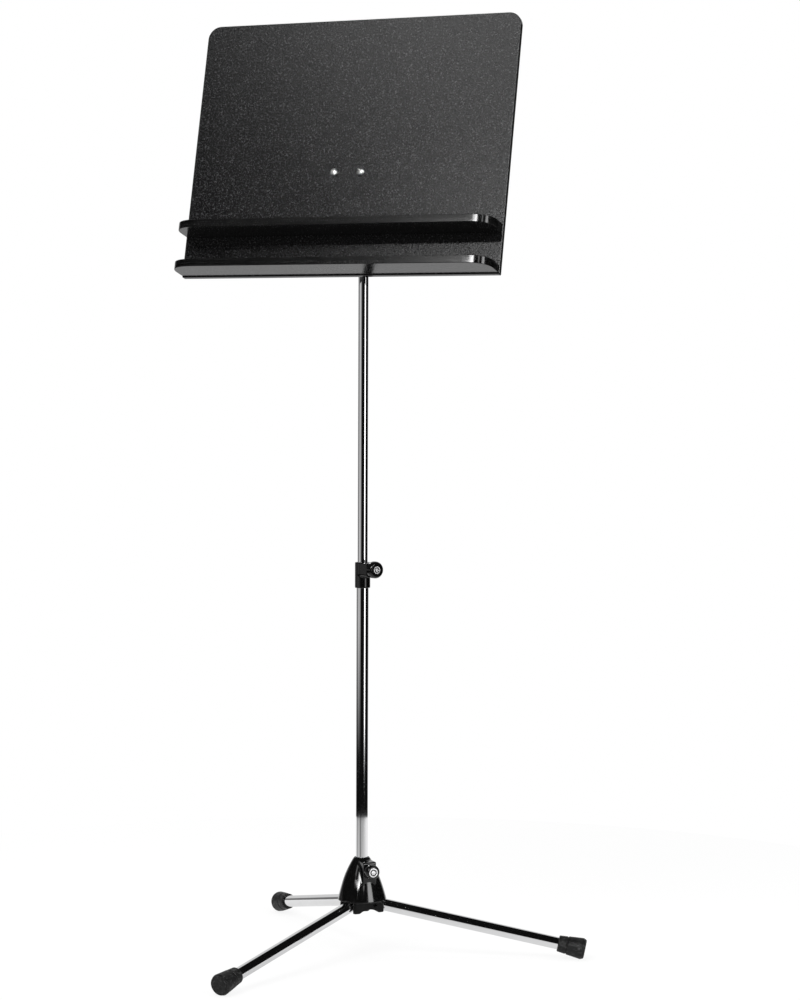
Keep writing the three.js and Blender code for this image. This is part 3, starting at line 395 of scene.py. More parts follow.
def surface_quads(inside, number):
    """A quad across each grid edge whose two ends lie on different sides, through its four cells."""
    quads = []
    for axis in range(3):
        first = np.take(inside, range(inside.shape[axis] - 1), axis)
        second = np.take(inside, range(1, inside.shape[axis]), axis)
        u, v = (axis + 1) % 3, (axis + 2) % 3
        edges = np.argwhere(first != second)
        corners = []
        for du, dv in ((0, 0), (1, 0), (1, 1), (0, 1)):
            cell = edges.copy()
            cell[:, u] -= du
            cell[:, v] -= dv
            corners.append(number[tuple(cell.T)])
        loops = np.stack(corners, axis=1)
        outward = first[tuple(edges.T)]
        loops[~outward] = loops[~outward][:, ::-1]
        quads.append(loops)
    return np.concatenate(quads)


def onto_surface(points, field, cell):
    """Moves points onto the surface where the field is zero."""
    step = cell * 0.02
    for _ in range(8):
        value = field(points)
        rises = [field(points + way) - field(points - way) for way in np.eye(3) * step]
        slope = np.stack(rises, axis=1) / (2 * step)
        length = np.maximum((slope * slope).sum(axis=1), 0.05)
        shift = (value / length)[:, None] * slope
        points = points - np.clip(shift, -cell / 2, cell / 2)
    return points


def moulded(name, field, low, high, cell):
    """A piece whose surface is where the field is zero, with all its edges softly rounded."""
    low, high = np.array(low, float), np.array(high, float)
    counts = np.ceil((high - low) / cell).astype(int) + 1
    axes = [low[i] + cell * np.arange(counts[i]) for i in range(3)]
    inside = field(np.stack(np.meshgrid(*axes, indexing="ij"), axis=-1)) < 0
    crossed = crossed_cells(inside)
    number = np.full(crossed.shape, -1)
    number[crossed] = np.arange(crossed.sum())
    points = onto_surface(low + cell * (np.argwhere(crossed) + 0.5), field, cell)
    mesh = bpy.data.meshes.new(name)
    mesh.from_pydata((points * MM).tolist(), [], surface_quads(inside, number).tolist())
    mesh.validate()
    return add_object(name, mesh, STAND)


# ---------- Material helpers ----------

SHADER = "Principled BSDF"


def add_node(tree, kind, inputs=None, **settings):
    """A node with its settings and inputs; an input is a value or another node's output."""
    made = tree.nodes.new(kind)
    for key, value in settings.items():
        setattr(made, key, value)
    for key, value in (inputs or {}).items():
        if isinstance(value, bpy.types.NodeSocket):
            tree.links.new(value, made.inputs[key])
        else:
            made.inputs[key].default_value = value
    return made


def math_node(tree, operation, a, b=0.0):
    return add_node(tree, "ShaderNodeMath", {0: a, 1: b}, operation=operation).outputs[0]


def times(tree, a, b):
    return math_node(tree, "MULTIPLY", a, b)


def mapped(tree, scale):
    """The piece's own coordinates in metres, times a scale for each axis."""
    coordinates = add_node(tree, "ShaderNodeTexCoord").outputs["Object"]
    return add_node(tree, "ShaderNodeMapping", {"Vector": coordinates, "Scale": scale}).outputs[0]


def from_axis(tree):
    """Distance from the piece's own Z axis, in metres."""
    flat = mapped(tree, (1, 1, 0))
    return add_node(tree, "ShaderNodeVectorMath", {0: flat}, operation="LENGTH").outputs["Value"]


def split(tree, vector):
    """A vector's parts along Y and Z, and its direction about Z in degrees from +X."""
    parts = add_node(tree, "ShaderNodeSeparateXYZ", {0: vector}).outputs
    azimuth = times(tree, math_node(tree, "ARCTAN2", parts[1], parts[0]), 180 / math.pi)
    return parts[1], parts[2], azimuth


def noise(tree, scale, detail=4.0, roughness=0.55, distortion=0.0):
    """Noise with so many cells to a metre: one number, or one for each axis."""
    scale = scale if isinstance(scale, tuple) else (scale,) * 3
    inputs = {"Vector": mapped(tree, scale), "Scale": 1.0, "Detail": detail}
    inputs.update({"Roughness": roughness, "Distortion": distortion})
    return add_node(tree, "ShaderNodeTexNoise", inputs).outputs["Fac"]


def spread(tree, value, low, high, to_low=0.0, to_high=1.0):
    """A value's range from low to high, spread from to_low to to_high and held at the ends."""
    inputs = {"Value": value, "From Min": low, "From Max": high, "To Min": to_low, "To Max": to_high}
    return add_node(tree, "ShaderNodeMapRange", inputs, clamp=True).outputs[0]


def blend_colours(tree, factor, a, b):
    """A blend of two colours: each is a grey's tone, three channels, or another node's output."""
    inputs = {0: factor}
    for index, colour in ((6, a), (7, b)):
        channels = (colour,) * 3 if isinstance(colour, float) else colour
        inputs[index] = (*channels, 1.0) if isinstance(channels, tuple) else channels
    return add_node(tree, "ShaderNodeMix", inputs, data_type="RGBA").outputs[2]


def material(name, **plain):
    """A new material and its node tree, with the main shader's plain inputs set."""
    made = bpy.data.materials.new(name)
    made.use_nodes = True
    shader = made.node_tree.nodes[SHADER]
    for key, value in plain.items():
        shader.inputs[key.replace("_", " ").title().replace("Ior", "IOR")].default_value = value
    return made, made.node_tree


def feed(made, colour, rough, height, strength, distance):
    """Links colour, roughness and a bump, whose height of one stands for a distance in millimetres."""
    tree = made.node_tree
    inputs = {"Height": height, "Strength": strength, "Distance": distance * MM}
    relief = add_node(tree, "ShaderNodeBump", inputs).outputs[0]
    for key, socket in (("Base Color", colour), ("Roughness", rough), ("Normal", relief)):
        tree.links.new(socket, tree.nodes[SHADER].inputs[key])
    return made


# ---------- Materials ----------


def board_face():
    """Black stained board under satin lacquer: a fine even pebble, faint grain along X, and light flecks
    that are painted glints of the lacquer.
    """
    made, tree = material("stained_board_face")
    pebble = noise(tree, 330, 2, 0.8)
    grain = noise(tree, (10, 200, 200), 4, 0.6, 0.3)
    clouds = noise(tree, 22, 3)
    # Light flecks in the colour: painted glints on the lacquered pores.
    painted_glints = spread(tree, noise(tree, 420, 1, 0.5), 0.62, 0.72)
    streaks = spread(tree, noise(tree, (18, 500, 500), 3, 0.6, 0.2), 0.35, 0.65)
    stain_and_painted_glints = blend_colours(tree, spread(tree, pebble, 0.40, 0.64), 0.0, (0.024, 0.024, 0.025))
    stain_and_painted_glints = blend_colours(tree, times(tree, streaks, 0.30), stain_and_painted_glints, 0.002)
    stain_and_painted_glints = blend_colours(tree, painted_glints, stain_and_painted_glints, (0.060, 0.060, 0.062))
    rough = spread(tree, math_node(tree, "ADD", grain, clouds), 0.7, 1.3, 0.10, 0.15)
    relief = math_node(tree, "ADD", pebble, times(tree, grain, 0.12))
    return feed(made, stain_and_painted_glints, rough, relief, 1.0, 0.12)


def board_edge():
    """The boards' edges: filled, sanded and painted, with the plies faint under the paint."""
    made, tree = material("painted_ply_edge")
    plies = spread(tree, noise(tree, (6, 60, 700), 2, 0.5), 0.4, 0.6)
    orange_peel = noise(tree, 400, 3)
    speckle = times(tree, plies, spread(tree, orange_peel, 0.40, 0.62))
    rough = spread(tree, noise(tree, (60, 200, 200), 4), 0.3, 0.7, 0.10, 0.15)
    return feed(made, blend_colours(tree, speckle, 0.002, 0.018), rough, orange_peel, 0.15, 0.03)


def chrome(name, scale):
    """Polished chrome plate, with hairline wipe marks along one axis of the piece."""
    made, tree = material(name, metallic=1.0)
    wipes = noise(tree, scale, 3, 0.6)
    haze = noise(tree, (30, 30, 12), 3, 0.5)
    tone = blend_colours(tree, haze, (0.78, 0.78, 0.79), (0.88, 0.88, 0.885))
    rough = spread(tree, times(tree, wipes, haze), 0.1, 0.45, 0.02, 0.07)
    return feed(made, tone, rough, wipes, 0.012, 0.02)


def clouded(name, cells, low, high, rough_low, rough_high, relief, **plain):
    """A cloudy tone and roughness over a fine relief, which is given as the cells to a metre and the
    roughness of its noise, and the strength and height of its bump."""
    made, tree = material(name, **plain)
    clouds = noise(tree, cells, 4, 0.6)
    rough = spread(tree, clouds, 0.3, 0.7, rough_low, rough_high)
    fine_cells, sharpness, strength, distance = relief
    fine = noise(tree, fine_cells, 2, sharpness)
    return feed(made, blend_colours(tree, clouds, low, high), rough, fine, strength, distance)


def moulding(name, tone, rough_low, rough_high, peel, **plain):
    """Moulded or cast black with a faint orange peel."""
    relief = (900, 0.5, peel, 0.05)
    return clouded(name, 120, tone * 0.6, tone * 1.4, rough_low, rough_high, relief, **plain)


def plated(name, low, high, rough_low, rough_high):
    """Plain or plated metal with fine turning marks."""
    return clouded(name, 150, low, high, rough_low, rough_high, (1800, 0.55, 0.1, 0.03), metallic=1.0)


def rubber():
    """Dull black rubber, mottled, with lighter patches that are partly scuffs and partly a painted sheen."""
    made, tree = material("foot_rubber", specular_ior_level=0.2)
    mottle = noise(tree, 340, 5, 0.75)
    # Lighter patches in the colour: partly scuffs, partly a painted sheen.
    scuffs_and_sheen = spread(tree, noise(tree, (120, 260, 260), 4, 0.6, 0.5), 0.56, 0.66, 0.0, 0.7)
    colour = blend_colours(tree, spread(tree, mottle, 0.35, 0.65), 0.002, 0.020)
    colour = blend_colours(tree, scuffs_and_sheen, colour, (0.060, 0.060, 0.061))
    rough = spread(tree, mottle, 0.3, 0.7, 0.40, 0.62)
    relief = math_node(tree, "ADD", mottle, noise(tree, 900, 2))
    return feed(made, colour, rough, relief, 0.6, 0.15)


def powder_coat():
    """Black powder coat on steel: a fine, even pebble."""
    made, tree = material("powder_coat")
    pebble = noise(tree, 1300, 2, 0.5)
    colour = blend_colours(tree, noise(tree, 70, 3), 0.010, 0.024)
    return feed(made, colour, spread(tree, pebble, 0.3, 0.7, 0.38, 0.55), pebble, 0.5, 0.08)


def turned_face():
    """Bright turned metal: fine rings about the disc's own axis, its local Z."""
    made, tree = material("turned_silver", metallic=0.45)
    pitch = 0.25 * MM
    rings = math_node(tree, "SINE", times(tree, from_axis(tree), 2 * math.pi / pitch))
    tone = blend_colours(tree, spread(tree, rings, -1, 1), (0.72, 0.72, 0.73), (0.88, 0.88, 0.89))
    return feed(made, tone, spread(tree, rings, -1, 1, 0.24, 0.36), rings, 0.15, 0.01)


BOARD_FACE = board_face()
BOARD_EDGE = board_edge()
CHROME = chrome("chrome_plate", (2500, 2500, 30))
LEG_CHROME = chrome("leg_chrome_plate", (30, 2500, 2500))
GLOSS_BLACK = moulding("gloss_black_moulding", 0.004, 0.06, 0.14, 0.03)
CAST_BLACK = moulding("black_casting", 0.004, 0.26, 0.38, 0.06, specular_ior_level=0.13)
NYLON = moulding("dark_nylon", 0.030, 0.50, 0.65, 0.20)
RUBBER = rubber()
POWDER_COAT = powder_coat()
ZINC = plated("zinc_plate", (0.52, 0.54, 0.57), (0.70, 0.70, 0.68), 0.26, 0.42)
NICKEL = plated("satin_nickel", 0.78, (0.92, 0.92, 0.91), 0.34, 0.44)
BRASS = plated("bare_brass", (0.55, 0.40, 0.16), (0.74, 0.57, 0.28), 0.25, 0.40)
TURNED_SILVER = turned_face()


# ---------- CAD nodes that keep their shape ----------


def finish_nodes(finish, names):
    for name in names.split():
        paint(frame["nodes"][name], finish)


# ---------- Desk, in its own frame about the tilt axis ----------

LEDGE_SCREWS = [f"{kind}_screw_{number}" for kind in ("tray", "shelf") for number in range(1, 5)]


def across_depth(outline, front, back):
    """An outline in X and Z, from one depth along Y to another."""
    return moved(prism(outline, -back, -front), ALONG_MINUS_Y)


def dress_board(made, node, thin_axis):
    """One finish on the faces that look along the board's thin axis, and another on its edges."""
    dress(made, "desk", "black_wood", [node], BOARD_FACE, BOARD_EDGE)
    for face in made.data.polygons:
        face.material_index = 0 if abs(face.normal[thin_axis]) > 0.999 else 1


def screw_hole(x, depth, height):
    """The countersunk mouth of a hole in the panel's back."""
    mouth = SCREW_HEAD_R + 0.3
    profile = [(0, -4.2), (0.8, -4.2), (mouth, -0.9), (mouth, 1.0), (0, 1.0)]
    return moved(lathe(profile, FINE), place(x, depth, height) @ turn(-90, "X"))


def make_panel():
    low, high = extent("desk_panel")
    corners = [(low.x, low.z, 1.5), (high.x, low.z, 1.5)]
    corners += [(high.x, high.z, PANEL_CORNER), (low.x, high.z, PANEL_CORNER)]
    made = piece("panel_board", across_depth(rounded(corners, True, 16), low.y, high.y), DESK)
    soften(made, PANEL_ARRIS)
    for node in LEDGE_SCREWS:
        screw_low, screw_high = extent(node)
        middle = (screw_low + screw_high) / 2
        cut(made, screw_hole(middle.x, high.y, middle.z))
    dress_board(made, "desk_panel", 1)


def make_ledge(name, node):
    """A ledge whose front corners are bends of a quadratic curve."""
    low, high = extent(node)
    bend = [(LEDGE_RUN * (1 - t) ** 2, LEDGE_SIDE * t * t) for t in np.linspace(0, 1, 25)]
    corners = [(low.x + x, low.y + y) for x, y in reversed(bend)]
    corners += [(high.x - x, low.y + y) for x, y in bend]
    corners += [(high.x, high.y, 0.8), (low.x, high.y, 0.8)]
    made = piece(name, prism(rounded(corners, True, 24), low.z, high.z), DESK)
    soften(made, LEDGE_ARRIS)
    dress_board(made, node, 2)


def make_ledge_screw(node):
    """A countersunk screw with a cross recess, seen in the panel's back."""
    low, high = extent(node)
    length = high.y - low.y
    shank = 1.75
    flare = SCREW_HEAD_R - shank
    profile = [(0, 0), (SCREW_HEAD_R - 0.3, 0), (SCREW_HEAD_R, 0.25), (SCREW_HEAD_R, 0.5)]
    profile += [(shank, 0.5 + flare), (shank, length - 4), (0.3, length), (0, length)]
    where = back_end(low, high, (low.z + high.z) / 2)
    made = piece(f"{node}_detail", lathe(profile, FINE), where)
    slot, arm, floor = 0.55, 2.1, 1.5
    cut(made, block(-slot, slot, -arm, arm, -1, floor), block(-arm, arm, -slot, slot, -1, floor))
    dress(made, "desk", "zinc_steel", [node], ZINC)


def make_panel_bolt(side):
    """A bright domed bolt with a slot, through the panel."""
    node = f"bracket_bolt_{side}"
    low, high = extent(node)
    end = high.y - low.y
    head, height = BOLT["head"], BOLT["height"]
    seat, shank = end - height, BOLT["shank"]
    rise = height * 0.2  # below the dome
    arc = np.linspace(0, math.pi / 2, 14)
    dome = [(head * math.cos(a), seat + rise + (height - rise) * math.sin(a)) for a in arc]
    profile = [(0, 0), (shank, 0), (shank, seat), (head - 0.2, seat), (head, seat + 0.2)]
    profile += dome[:-1] + [(0, end)]
    made = piece(f"panel_bolt_{side}", lathe(profile), back_end(low, high))
    cut(made, moved(block(-0.75, 0.75, -9, 9, end - 1.4, end + 1), turn(35, "Z")))
    soften(made, 0.12, 2, 50)
    dress(made, "desk", "chrome", [node], NICKEL)


def make_bolt_nut(side):
    """A hexagon nut whose two ends are turned down to a round chamfer."""
    node = f"bracket_nut_{side}"
    low, high = extent(node)
    flat = (high.x - low.x) / 2
    radius = flat / math.cos(math.pi / 6)
    depth = high.y - low.y
    hexagon = [(radius * math.cos(a), radius * math.sin(a)) for a in np.radians(range(30, 390, 60))]
    made = piece(f"panel_nut_{side}", prism(hexagon, 0, depth), back_end(low, high))
    tip, wide, fall = flat - 0.2, flat + 0.9, 0.65
    keep(made, lathe([(0, 0), (tip, 0), (wide, fall), (wide, depth - fall), (tip, depth), (0, depth)], FINE))
    cut(made, cylinder(BOLT["shank"] + 0.15, -radius - 1, depth + radius + 1, FINE))
    dress(made, "desk", "zinc_steel", [node], ZINC)


def make_bracket():
    """The bent steel bracket: a plate on the panel's back with two ears about the tilt axis."""
    front = extent("tilt_bracket")[0].y
    half, tall, sheet = BRACKET["half"], BRACKET["high"], BRACKET["sheet"]
    inner = BRACKET["ear_inner"]
    outer = inner + sheet
    plate = [(-half, -tall, 6), (half, -tall, 6), (half, tall, 6), (-half, tall, 6)]
    made = piece("tilt_bracket_detail", across_depth(rounded(plate, True, 8), front, front + sheet), DESK)
    ear_r, root = BRACKET["ear_r"], BRACKET["ear_root"]
    lean = math.atan2(root - ear_r, -front)
    arc = np.linspace(-math.pi / 2 - lean, math.pi / 2 + lean, 40)
    side_view = [(ear_r * math.cos(a), ear_r * math.sin(a)) for a in arc]
    side_view += [(front + 0.2, root), (front + 0.2, -root)]
    window = block(1 - inner, inner - 1, front - 1, front + sheet + 1, -root, root)
    for shift in (-outer, inner):
        ear = moved(prism(side_view, 0, sheet), turn(90, "Z") @ ALONG_MINUS_Y)
        join(made, moved(ear, place(shift, 0, 0)))
    bore = moved(cylinder(TILT_BOLT_BORE, -outer - 2, outer + 2, FINE), ALONG_X)
    cut(made, window, bore)
    for x in (-BOLT_SPACING / 2, BOLT_SPACING / 2):
        bolt_way = cylinder(BOLT["shank"] + CLEARANCE, -front - 8, -front + 8, FINE)
        cut(made, moved(bolt_way, place(x, 0, 0) @ ALONG_MINUS_Y))
    soften(made, 0.45, 2, 50)
    dress(made, "desk", "black_steel", ["tilt_bracket"], POWDER_COAT)


def make_tilt_bolt():
    low, high = extent("tilt_bolt")
    head = [(0, low.x), (5.6, low.x, 1.2), (8, low.x + 2.4, 0.8), (8, low.x + 4, 0.3), (4, low.x + 4)]
    profile = rounded(head + [(4, high.x - 0.6), (3.5, high.x), (0, high.x)])
    made = piece("tilt_bolt_detail", moved(lathe(profile, FINE), ALONG_X), DESK)
    dress(made, "desk", "zinc_steel", ["tilt_bolt"], ZINC)


def make_tilt_head():
    """The forged head on the mast: a socket over the tube and a barrel about the tilt bolt."""
    top = TILT_AXIS.z
    shelf = top - HEAD["neck"]
    foot = shelf - HEAD["socket_length"]

    def field(p):
        x, y, z = np.moveaxis(p, -1, 0)
        reach = np.hypot(x, y)
        socket = common(1.6, reach - HEAD["socket"], foot - z, z - shelf - 3)
        barrel = common(1.0, np.hypot(y, z - top) - HEAD["barrel"], np.abs(x) - HEAD["half"])
        neck = common(2.5, np.abs(x) - HEAD["waist"], np.abs(y) - HEAD["waist"], shelf - 6 - z, z - top)
        solid = smooth_min(smooth_min(socket, neck, 3.0), barrel, 2.0)
        bore = np.maximum(reach - UPPER_TUBE_BORE, z - shelf)
        bolt = np.hypot(y, z - top) - TILT_BOLT_BORE
        pin = np.hypot(y, z - (foot + HEAD["socket_length"] / 2)) - HEAD_PIN_BORE
        return common(0.6, solid, -bore, -bolt, -pin)

    made = moulded("tilt_head_detail", field, (-14, -14, foot - 2), (14, 14, top + 14), 0.55)
    dress(made, "mast", "black_steel", ["tilt_head"], POWDER_COAT)


# ---------- Knobs ----------


def knob_profile(knob):
    grip, start, face, disc, core = (knob[k] for k in ("grip", "start", "face", "disc", "core"))
    neck = grip * 0.72
    shoulder = start + KNOB_NECK
    rim = (face - start) * 0.42
    lip = grip * 0.74
    recess = face - DISC_THICKNESS - 0.3
    arc = np.linspace(0, math.pi / 2, 16)
    side = [(core, start), (neck, start, 0.4), (neck, shoulder, 0.6), (grip, shoulder, 1.0)]
    crown = [(lip + (grip - lip) * math.cos(a), face - rim + rim * math.sin(a)) for a in arc[1:]]
    seat = disc + CLEARANCE
    front = rounded([(lip, face), (seat, face, 0.25), (seat, recess), (0, recess)])[1:]
    socket = [(0, recess - 3), (core, recess - 3), (core, start)]
    return rounded(side + [(grip, face - rim)]) + crown + front + socket


def make_knob(name, knob, node, where):
    """A smooth moulded knob about its own +Z, with a bare turned disc in its face. Its node and the
    body that it rides have one name."""
    made = piece(f"{name}_grip", lathe(knob_profile(knob)), where)
    dress(made, node, "black_gloss", [node], GLOSS_BLACK)
    radius, face = knob["disc"], knob["face"]
    floor = face - 0.35
    outline = [(0, face - DISC_THICKNESS), (radius, face - DISC_THICKNESS, 0.1), (radius, face, 0.25)]
    outline += [(radius * 0.74, face, 0.15), (radius * 0.70, floor, 0.1), (radius * 0.50, floor, 0.1)]
    outline += [(radius * 0.46, face, 0.15), (0, face)]
    disc = piece(f"{name}_face_disc", lathe(rounded(outline)), where)
    dress(disc, node, "silver", [f"{node}_disc"], TURNED_SILVER, GLOSS_BLACK)
    # The turned groove is filled with black.
    for polygon in disc.data.polygons:
        in_groove = radius * 0.47 < polygon.center.xy.length / MM < radius * 0.73
        polygon.material_index = 1 if in_groove and polygon.center.z / MM < face - 0.1 else 0


# ---------- Tubes and collar ----------


def tube(outer, low, high):
    inner = outer - TUBE_WALL
    corners = [(outer, (low + high) / 2), (outer, high, 0.4), (inner, high, 0.4)]
    corners += [(inner, low, 0.4), (outer, low, 0.4), (outer, (low + high) / 2)]
    return lathe(rounded(corners))


def make_tube(node, body):
    low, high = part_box(node)
    made = piece(f"{node}_chrome", tube((high[0] - low[0]) / 2 / MM, *heights(node)))
    dress(made, body, "chrome", [node], CHROME)


def clamp_bores(p, clamp, face):
    """Fields of the insert's seat and of the pad's way in a clamp's boss."""
    x, y, z = spun(p, heading(clamp))
    reach = np.hypot(y, z - clamp.z)
    seat = np.maximum(reach - INSERT_SEAT_R, face - INSERT_LENGTH - CLEARANCE - x)
    way = np.maximum(reach - PAD_WAY_R, 1 - x)
    return np.minimum(seat, way)


def make_collar():
    """The height collar: a moulded sleeve with the boss of its clamp."""
    face, half, corner = HEIGHT_BOSS["face"], HEIGHT_BOSS["half"], HEIGHT_BOSS["round"]
    boss_low = COLLAR_HIGH - HEIGHT_BOSS["length"]

    def field(p):
        x, y, z = spun(p, heading(HEIGHT_CLAMP))
        reach = np.hypot(x, y)
        # The boss's lower corners are round.
        side = np.abs(y) - (half - corner)
        down = boss_low + corner - z
        beyond = np.hypot(np.maximum(side, 0), np.maximum(down, 0))
        within = np.minimum(np.maximum(side, down), 0)
        boss = common(1.4, beyond + within - corner, x - face, -x)
        both = smooth_min(reach - COLLAR_R, boss, 2.0)
        solid = common(1.4, both, COLLAR_LOW - z, z - COLLAR_HIGH)
        seat = np.maximum(reach - LOWER_TUBE_BORE, z - LOWER_TUBE_TOP - CLEARANCE)
        bush = np.maximum(reach - COLLAR_BUSH_R, LOWER_TUBE_TOP - z)
        return common(0.7, solid, -seat, -bush, -clamp_bores(p, HEIGHT_CLAMP, face))

    low = (-30, -30, COLLAR_LOW - 2)
    made = moulded("height_collar_detail", field, low, (30, 30, COLLAR_HIGH + 2), 0.5)
    dress(made, "column", "black_gloss", ["height_collar"], GLOSS_BLACK)


# ---------- Hub ----------


def bell_radii():
    """Heights above the rim and radii of the bell: one curve from rim to neck, then its top edge."""
    t = np.linspace(-0.1, 1, 60)
    weights = (1 - t) ** 2, 2 * t * (1 - t), t**2
    ends = (0.0, HUB["rim"]), HUB_BELLY, HUB_NECK
    heights = sum(w * end[0] for w, end in zip(weights, ends))
    radii = sum(w * end[1] for w, end in zip(weights, ends))
    return np.append(heights, HUB["height"]), np.append(radii, HUB["top"])


BELL_HEIGHTS, BELL_RADII = bell_radii()


def bell_field(p):
    """The bell: round over the legs, with three broad leaning faces between them."""
    x, y, z = np.moveaxis(p, -1, 0)
    height = z - HUB_LOW
    radius = np.interp(height, BELL_HEIGHTS, BELL_RADII)
    apart = np.degrees(np.arctan2(y, x)) - LEG_ANGLES[0]
    from_valley = np.radians(np.mod(apart, 2 * VALLEY_TURN) - VALLEY_TURN)
    centre = HUB_VALLEY - HUB_VALLEY_LEAN * height - HUB_VALLEY_ROUND
    crown = np.sqrt(HUB_VALLEY_ROUND**2 - (centre * np.sin(from_valley)) ** 2)
    face = centre * np.cos(from_valley) + crown
    return (np.hypot(x, y) - smooth_min(radius, face, 3.0)) * 0.93


def base_boss_field(p):
    """The clamp's boss: a block with an arched lower edge and a chamfered top front edge."""
    x, y, z = spun(p, heading(BASE_CLAMP))
    height = z - HUB_LOW
    half, arch, face, top = (BASE_BOSS[k] for k in ("half", "arch", "face", "top"))
    radius = (half**2 + arch**2) / (2 * arch)
    under = radius - np.hypot(y, height - (BASE_BOSS["bottom"] + arch - radius))
    chamfer = ((x - face) + (height - top)) / math.sqrt(2) + BASE_BOSS["chamfer"]
    return common(0.9, np.abs(y) - half, x - face, -x, height - top, chamfer, under)


def leg_arch_field(p, angle):
    """The way that the hub leaves over a leg: snug at the inside and wide at the outside."""
    x, y, z = spun(p, angle)
    slope = math.radians(LEG_SLOPE)
    ahead, up = x - PIN_RADIAL, z - PIN_Z
    along = ahead * math.cos(slope) - up * math.sin(slope)
    above = ahead * math.sin(slope) + up * math.cos(slope)
    inner = HUB["rim"] - HUB["wall"] - PIN_RADIAL
    radius = np.interp(along, [inner, inner + HUB["wall"]], [LEG_WAY, HUB_ARCH_R])
    return np.maximum(np.hypot(y, above) - radius, -along)


def make_hub():
    roof = HUB_LOW + 53

    def field(p):
        x, y, z = np.moveaxis(p, -1, 0)
        reach = np.hypot(x, y)
        bell = bell_field(p)
        boss = base_boss_field(p)
        outside = common(1.4, smooth_min(bell, boss, 1.6), HUB_LOW - z, z - HUB_HIGH)
        sleeve = np.maximum(reach - HUB_SLEEVE_R, HUB_LOW + HUB_SLEEVE_START - z)
        hollow = common(1.5, bell + HUB["wall"], -sleeve, -boss, z - roof)
        solid = common(0.7, outside, -hollow, LOWER_TUBE_BORE - reach)
        for angle in LEG_ANGLES:
            solid = smooth_max(solid, -leg_arch_field(p, angle), 0.8)
        return common(0.6, solid, -clamp_bores(p, BASE_CLAMP, BASE_BOSS["face"]))

    rim = HUB["rim"] + 2
    low = (-rim, -rim, HUB_LOW - 2)
    made = moulded("bell_hub", field, low, (rim, rim, HUB_HIGH + 2), 0.6)
    dress(made, "hub", "black_gloss", ["base_hub"], GLOSS_BLACK)


# ---------- Spider and legs ----------


def ear_boss_field(p, angle):
    x, y, z = spun(p, angle)
    around = np.hypot(x - PIN_RADIAL, z - PIN_Z) - EAR_R
    return common(0.6, around, np.abs(y) - LEG_WAY - SPIDER["wall"], LEG_WAY - np.abs(y))


def web_arch_field(p, angle, low):
    """The arch in the lower edge of the web between two legs."""
    x, y, z = spun(p, angle)
    half, rise = 16.0, SPIDER["arch"]
    radius = (half**2 + rise**2) / (2 * rise)
    around = np.hypot(y, z - (low + rise - radius)) - radius
    return np.maximum(around, SLEEVE_R + 2 - x)


def pin_bore_field(p, angle):
    x, y, z = spun(p, angle)
    around = np.hypot(x - PIN_RADIAL, z - PIN_Z) - (PIN_R + CLEARANCE)
    return np.maximum(around, y - LEG_TUBE_R - SPIDER["wall"])


def make_spider():
    low, high = PIN_Z - SPIDER["down"], PIN_Z + SPIDER["up"]

    def field(p):
        x, y, z = np.moveaxis(p, -1, 0)
        reach = np.hypot(x, y)
        body = smooth_max(low - z, z - high, 0.9)
        for angle in LEG_ANGLES:
            leg_way = spun(p, angle)[0] - SPIDER["leg_face"]
            web_way = spun(p, angle + VALLEY_TURN)[0] - SPIDER["web_face"]
            body = smooth_max(smooth_max(body, leg_way, 1.6), web_way, 1.6)
        sleeve = common(0.9, reach - SLEEVE_R, low - z, z - PIN_Z - 8)
        solid = smooth_min(body, sleeve, 1.0)
        for angle in LEG_ANGLES:
            sx, sy, _ = spun(p, angle)
            way = common(0.5, np.abs(sy) - LEG_WAY, SLEEVE_R - reach, -sx)
            solid = smooth_min(smooth_max(solid, -way, 0.7), ear_boss_field(p, angle), 1.0)
        for angle in LEG_ANGLES:
            vx, vy, _ = spun(p, angle + VALLEY_TURN)
            pocket = common(1.5, SLEEVE_R + 2 - vx, vx - 28, np.abs(vy) - 11, z - high + 3)
            solid = smooth_max(solid, -pocket, 0.7)
            solid = smooth_max(solid, -web_arch_field(p, angle + VALLEY_TURN, low), 0.9)
            solid = smooth_max(solid, -pin_bore_field(p, angle), 0.6)
        seat = np.maximum(reach - LOWER_TUBE_BORE, low + SPIDER_FLOOR - z)
        head = np.maximum(reach - SPIDER_SCREW["head"], z - low - SPIDER_SCREW["depth"])
        return common(0.6, solid, -seat, -head, SPIDER_SCREW["shank"] - reach)

    made = moulded("leg_spider_detail", field, (-40, -40, low - 2), (40, 40, PIN_Z + 10), 0.6)
    dress(made, "column", "black_gloss", ["leg_spider"], CAST_BLACK)


def make_leg(number):
    """A leg in its own frame: the origin at its hinge pin, +X along the tube."""
    pin = PINS[number - 1]
    where = place(*pin) @ turn(heading(pin), "Z") @ turn(LEG_SLOPE, "Y")
    bm = tube(LEG_TUBE_R, -LEG_HEEL - 4, LEG_REACH - CAP_FLOOR - CLEARANCE)
    made = piece(f"leg_{number}_tube", moved(bm, ALONG_X), where)
    # The root ends round above the pin, and in a square heel below it.
    root = moved(cylinder(LEG_ROOT_R, -11, 11), ALONG_MINUS_Y)
    keep(made, root, block(0, LEG_REACH + 10, -20, 20, -20, 20), block(-LEG_HEEL, 1, -20, 20, -20, 0))
    cut(made, moved(cylinder(PIN_R + CLEARANCE, -11, 11, FINE), ALONG_MINUS_Y))
    dress(made, f"leg_{number}", "chrome", [f"leg_tube_{number}"], LEG_CHROME)
    make_cap(number, where)
    make_hinge_pin(number, where)


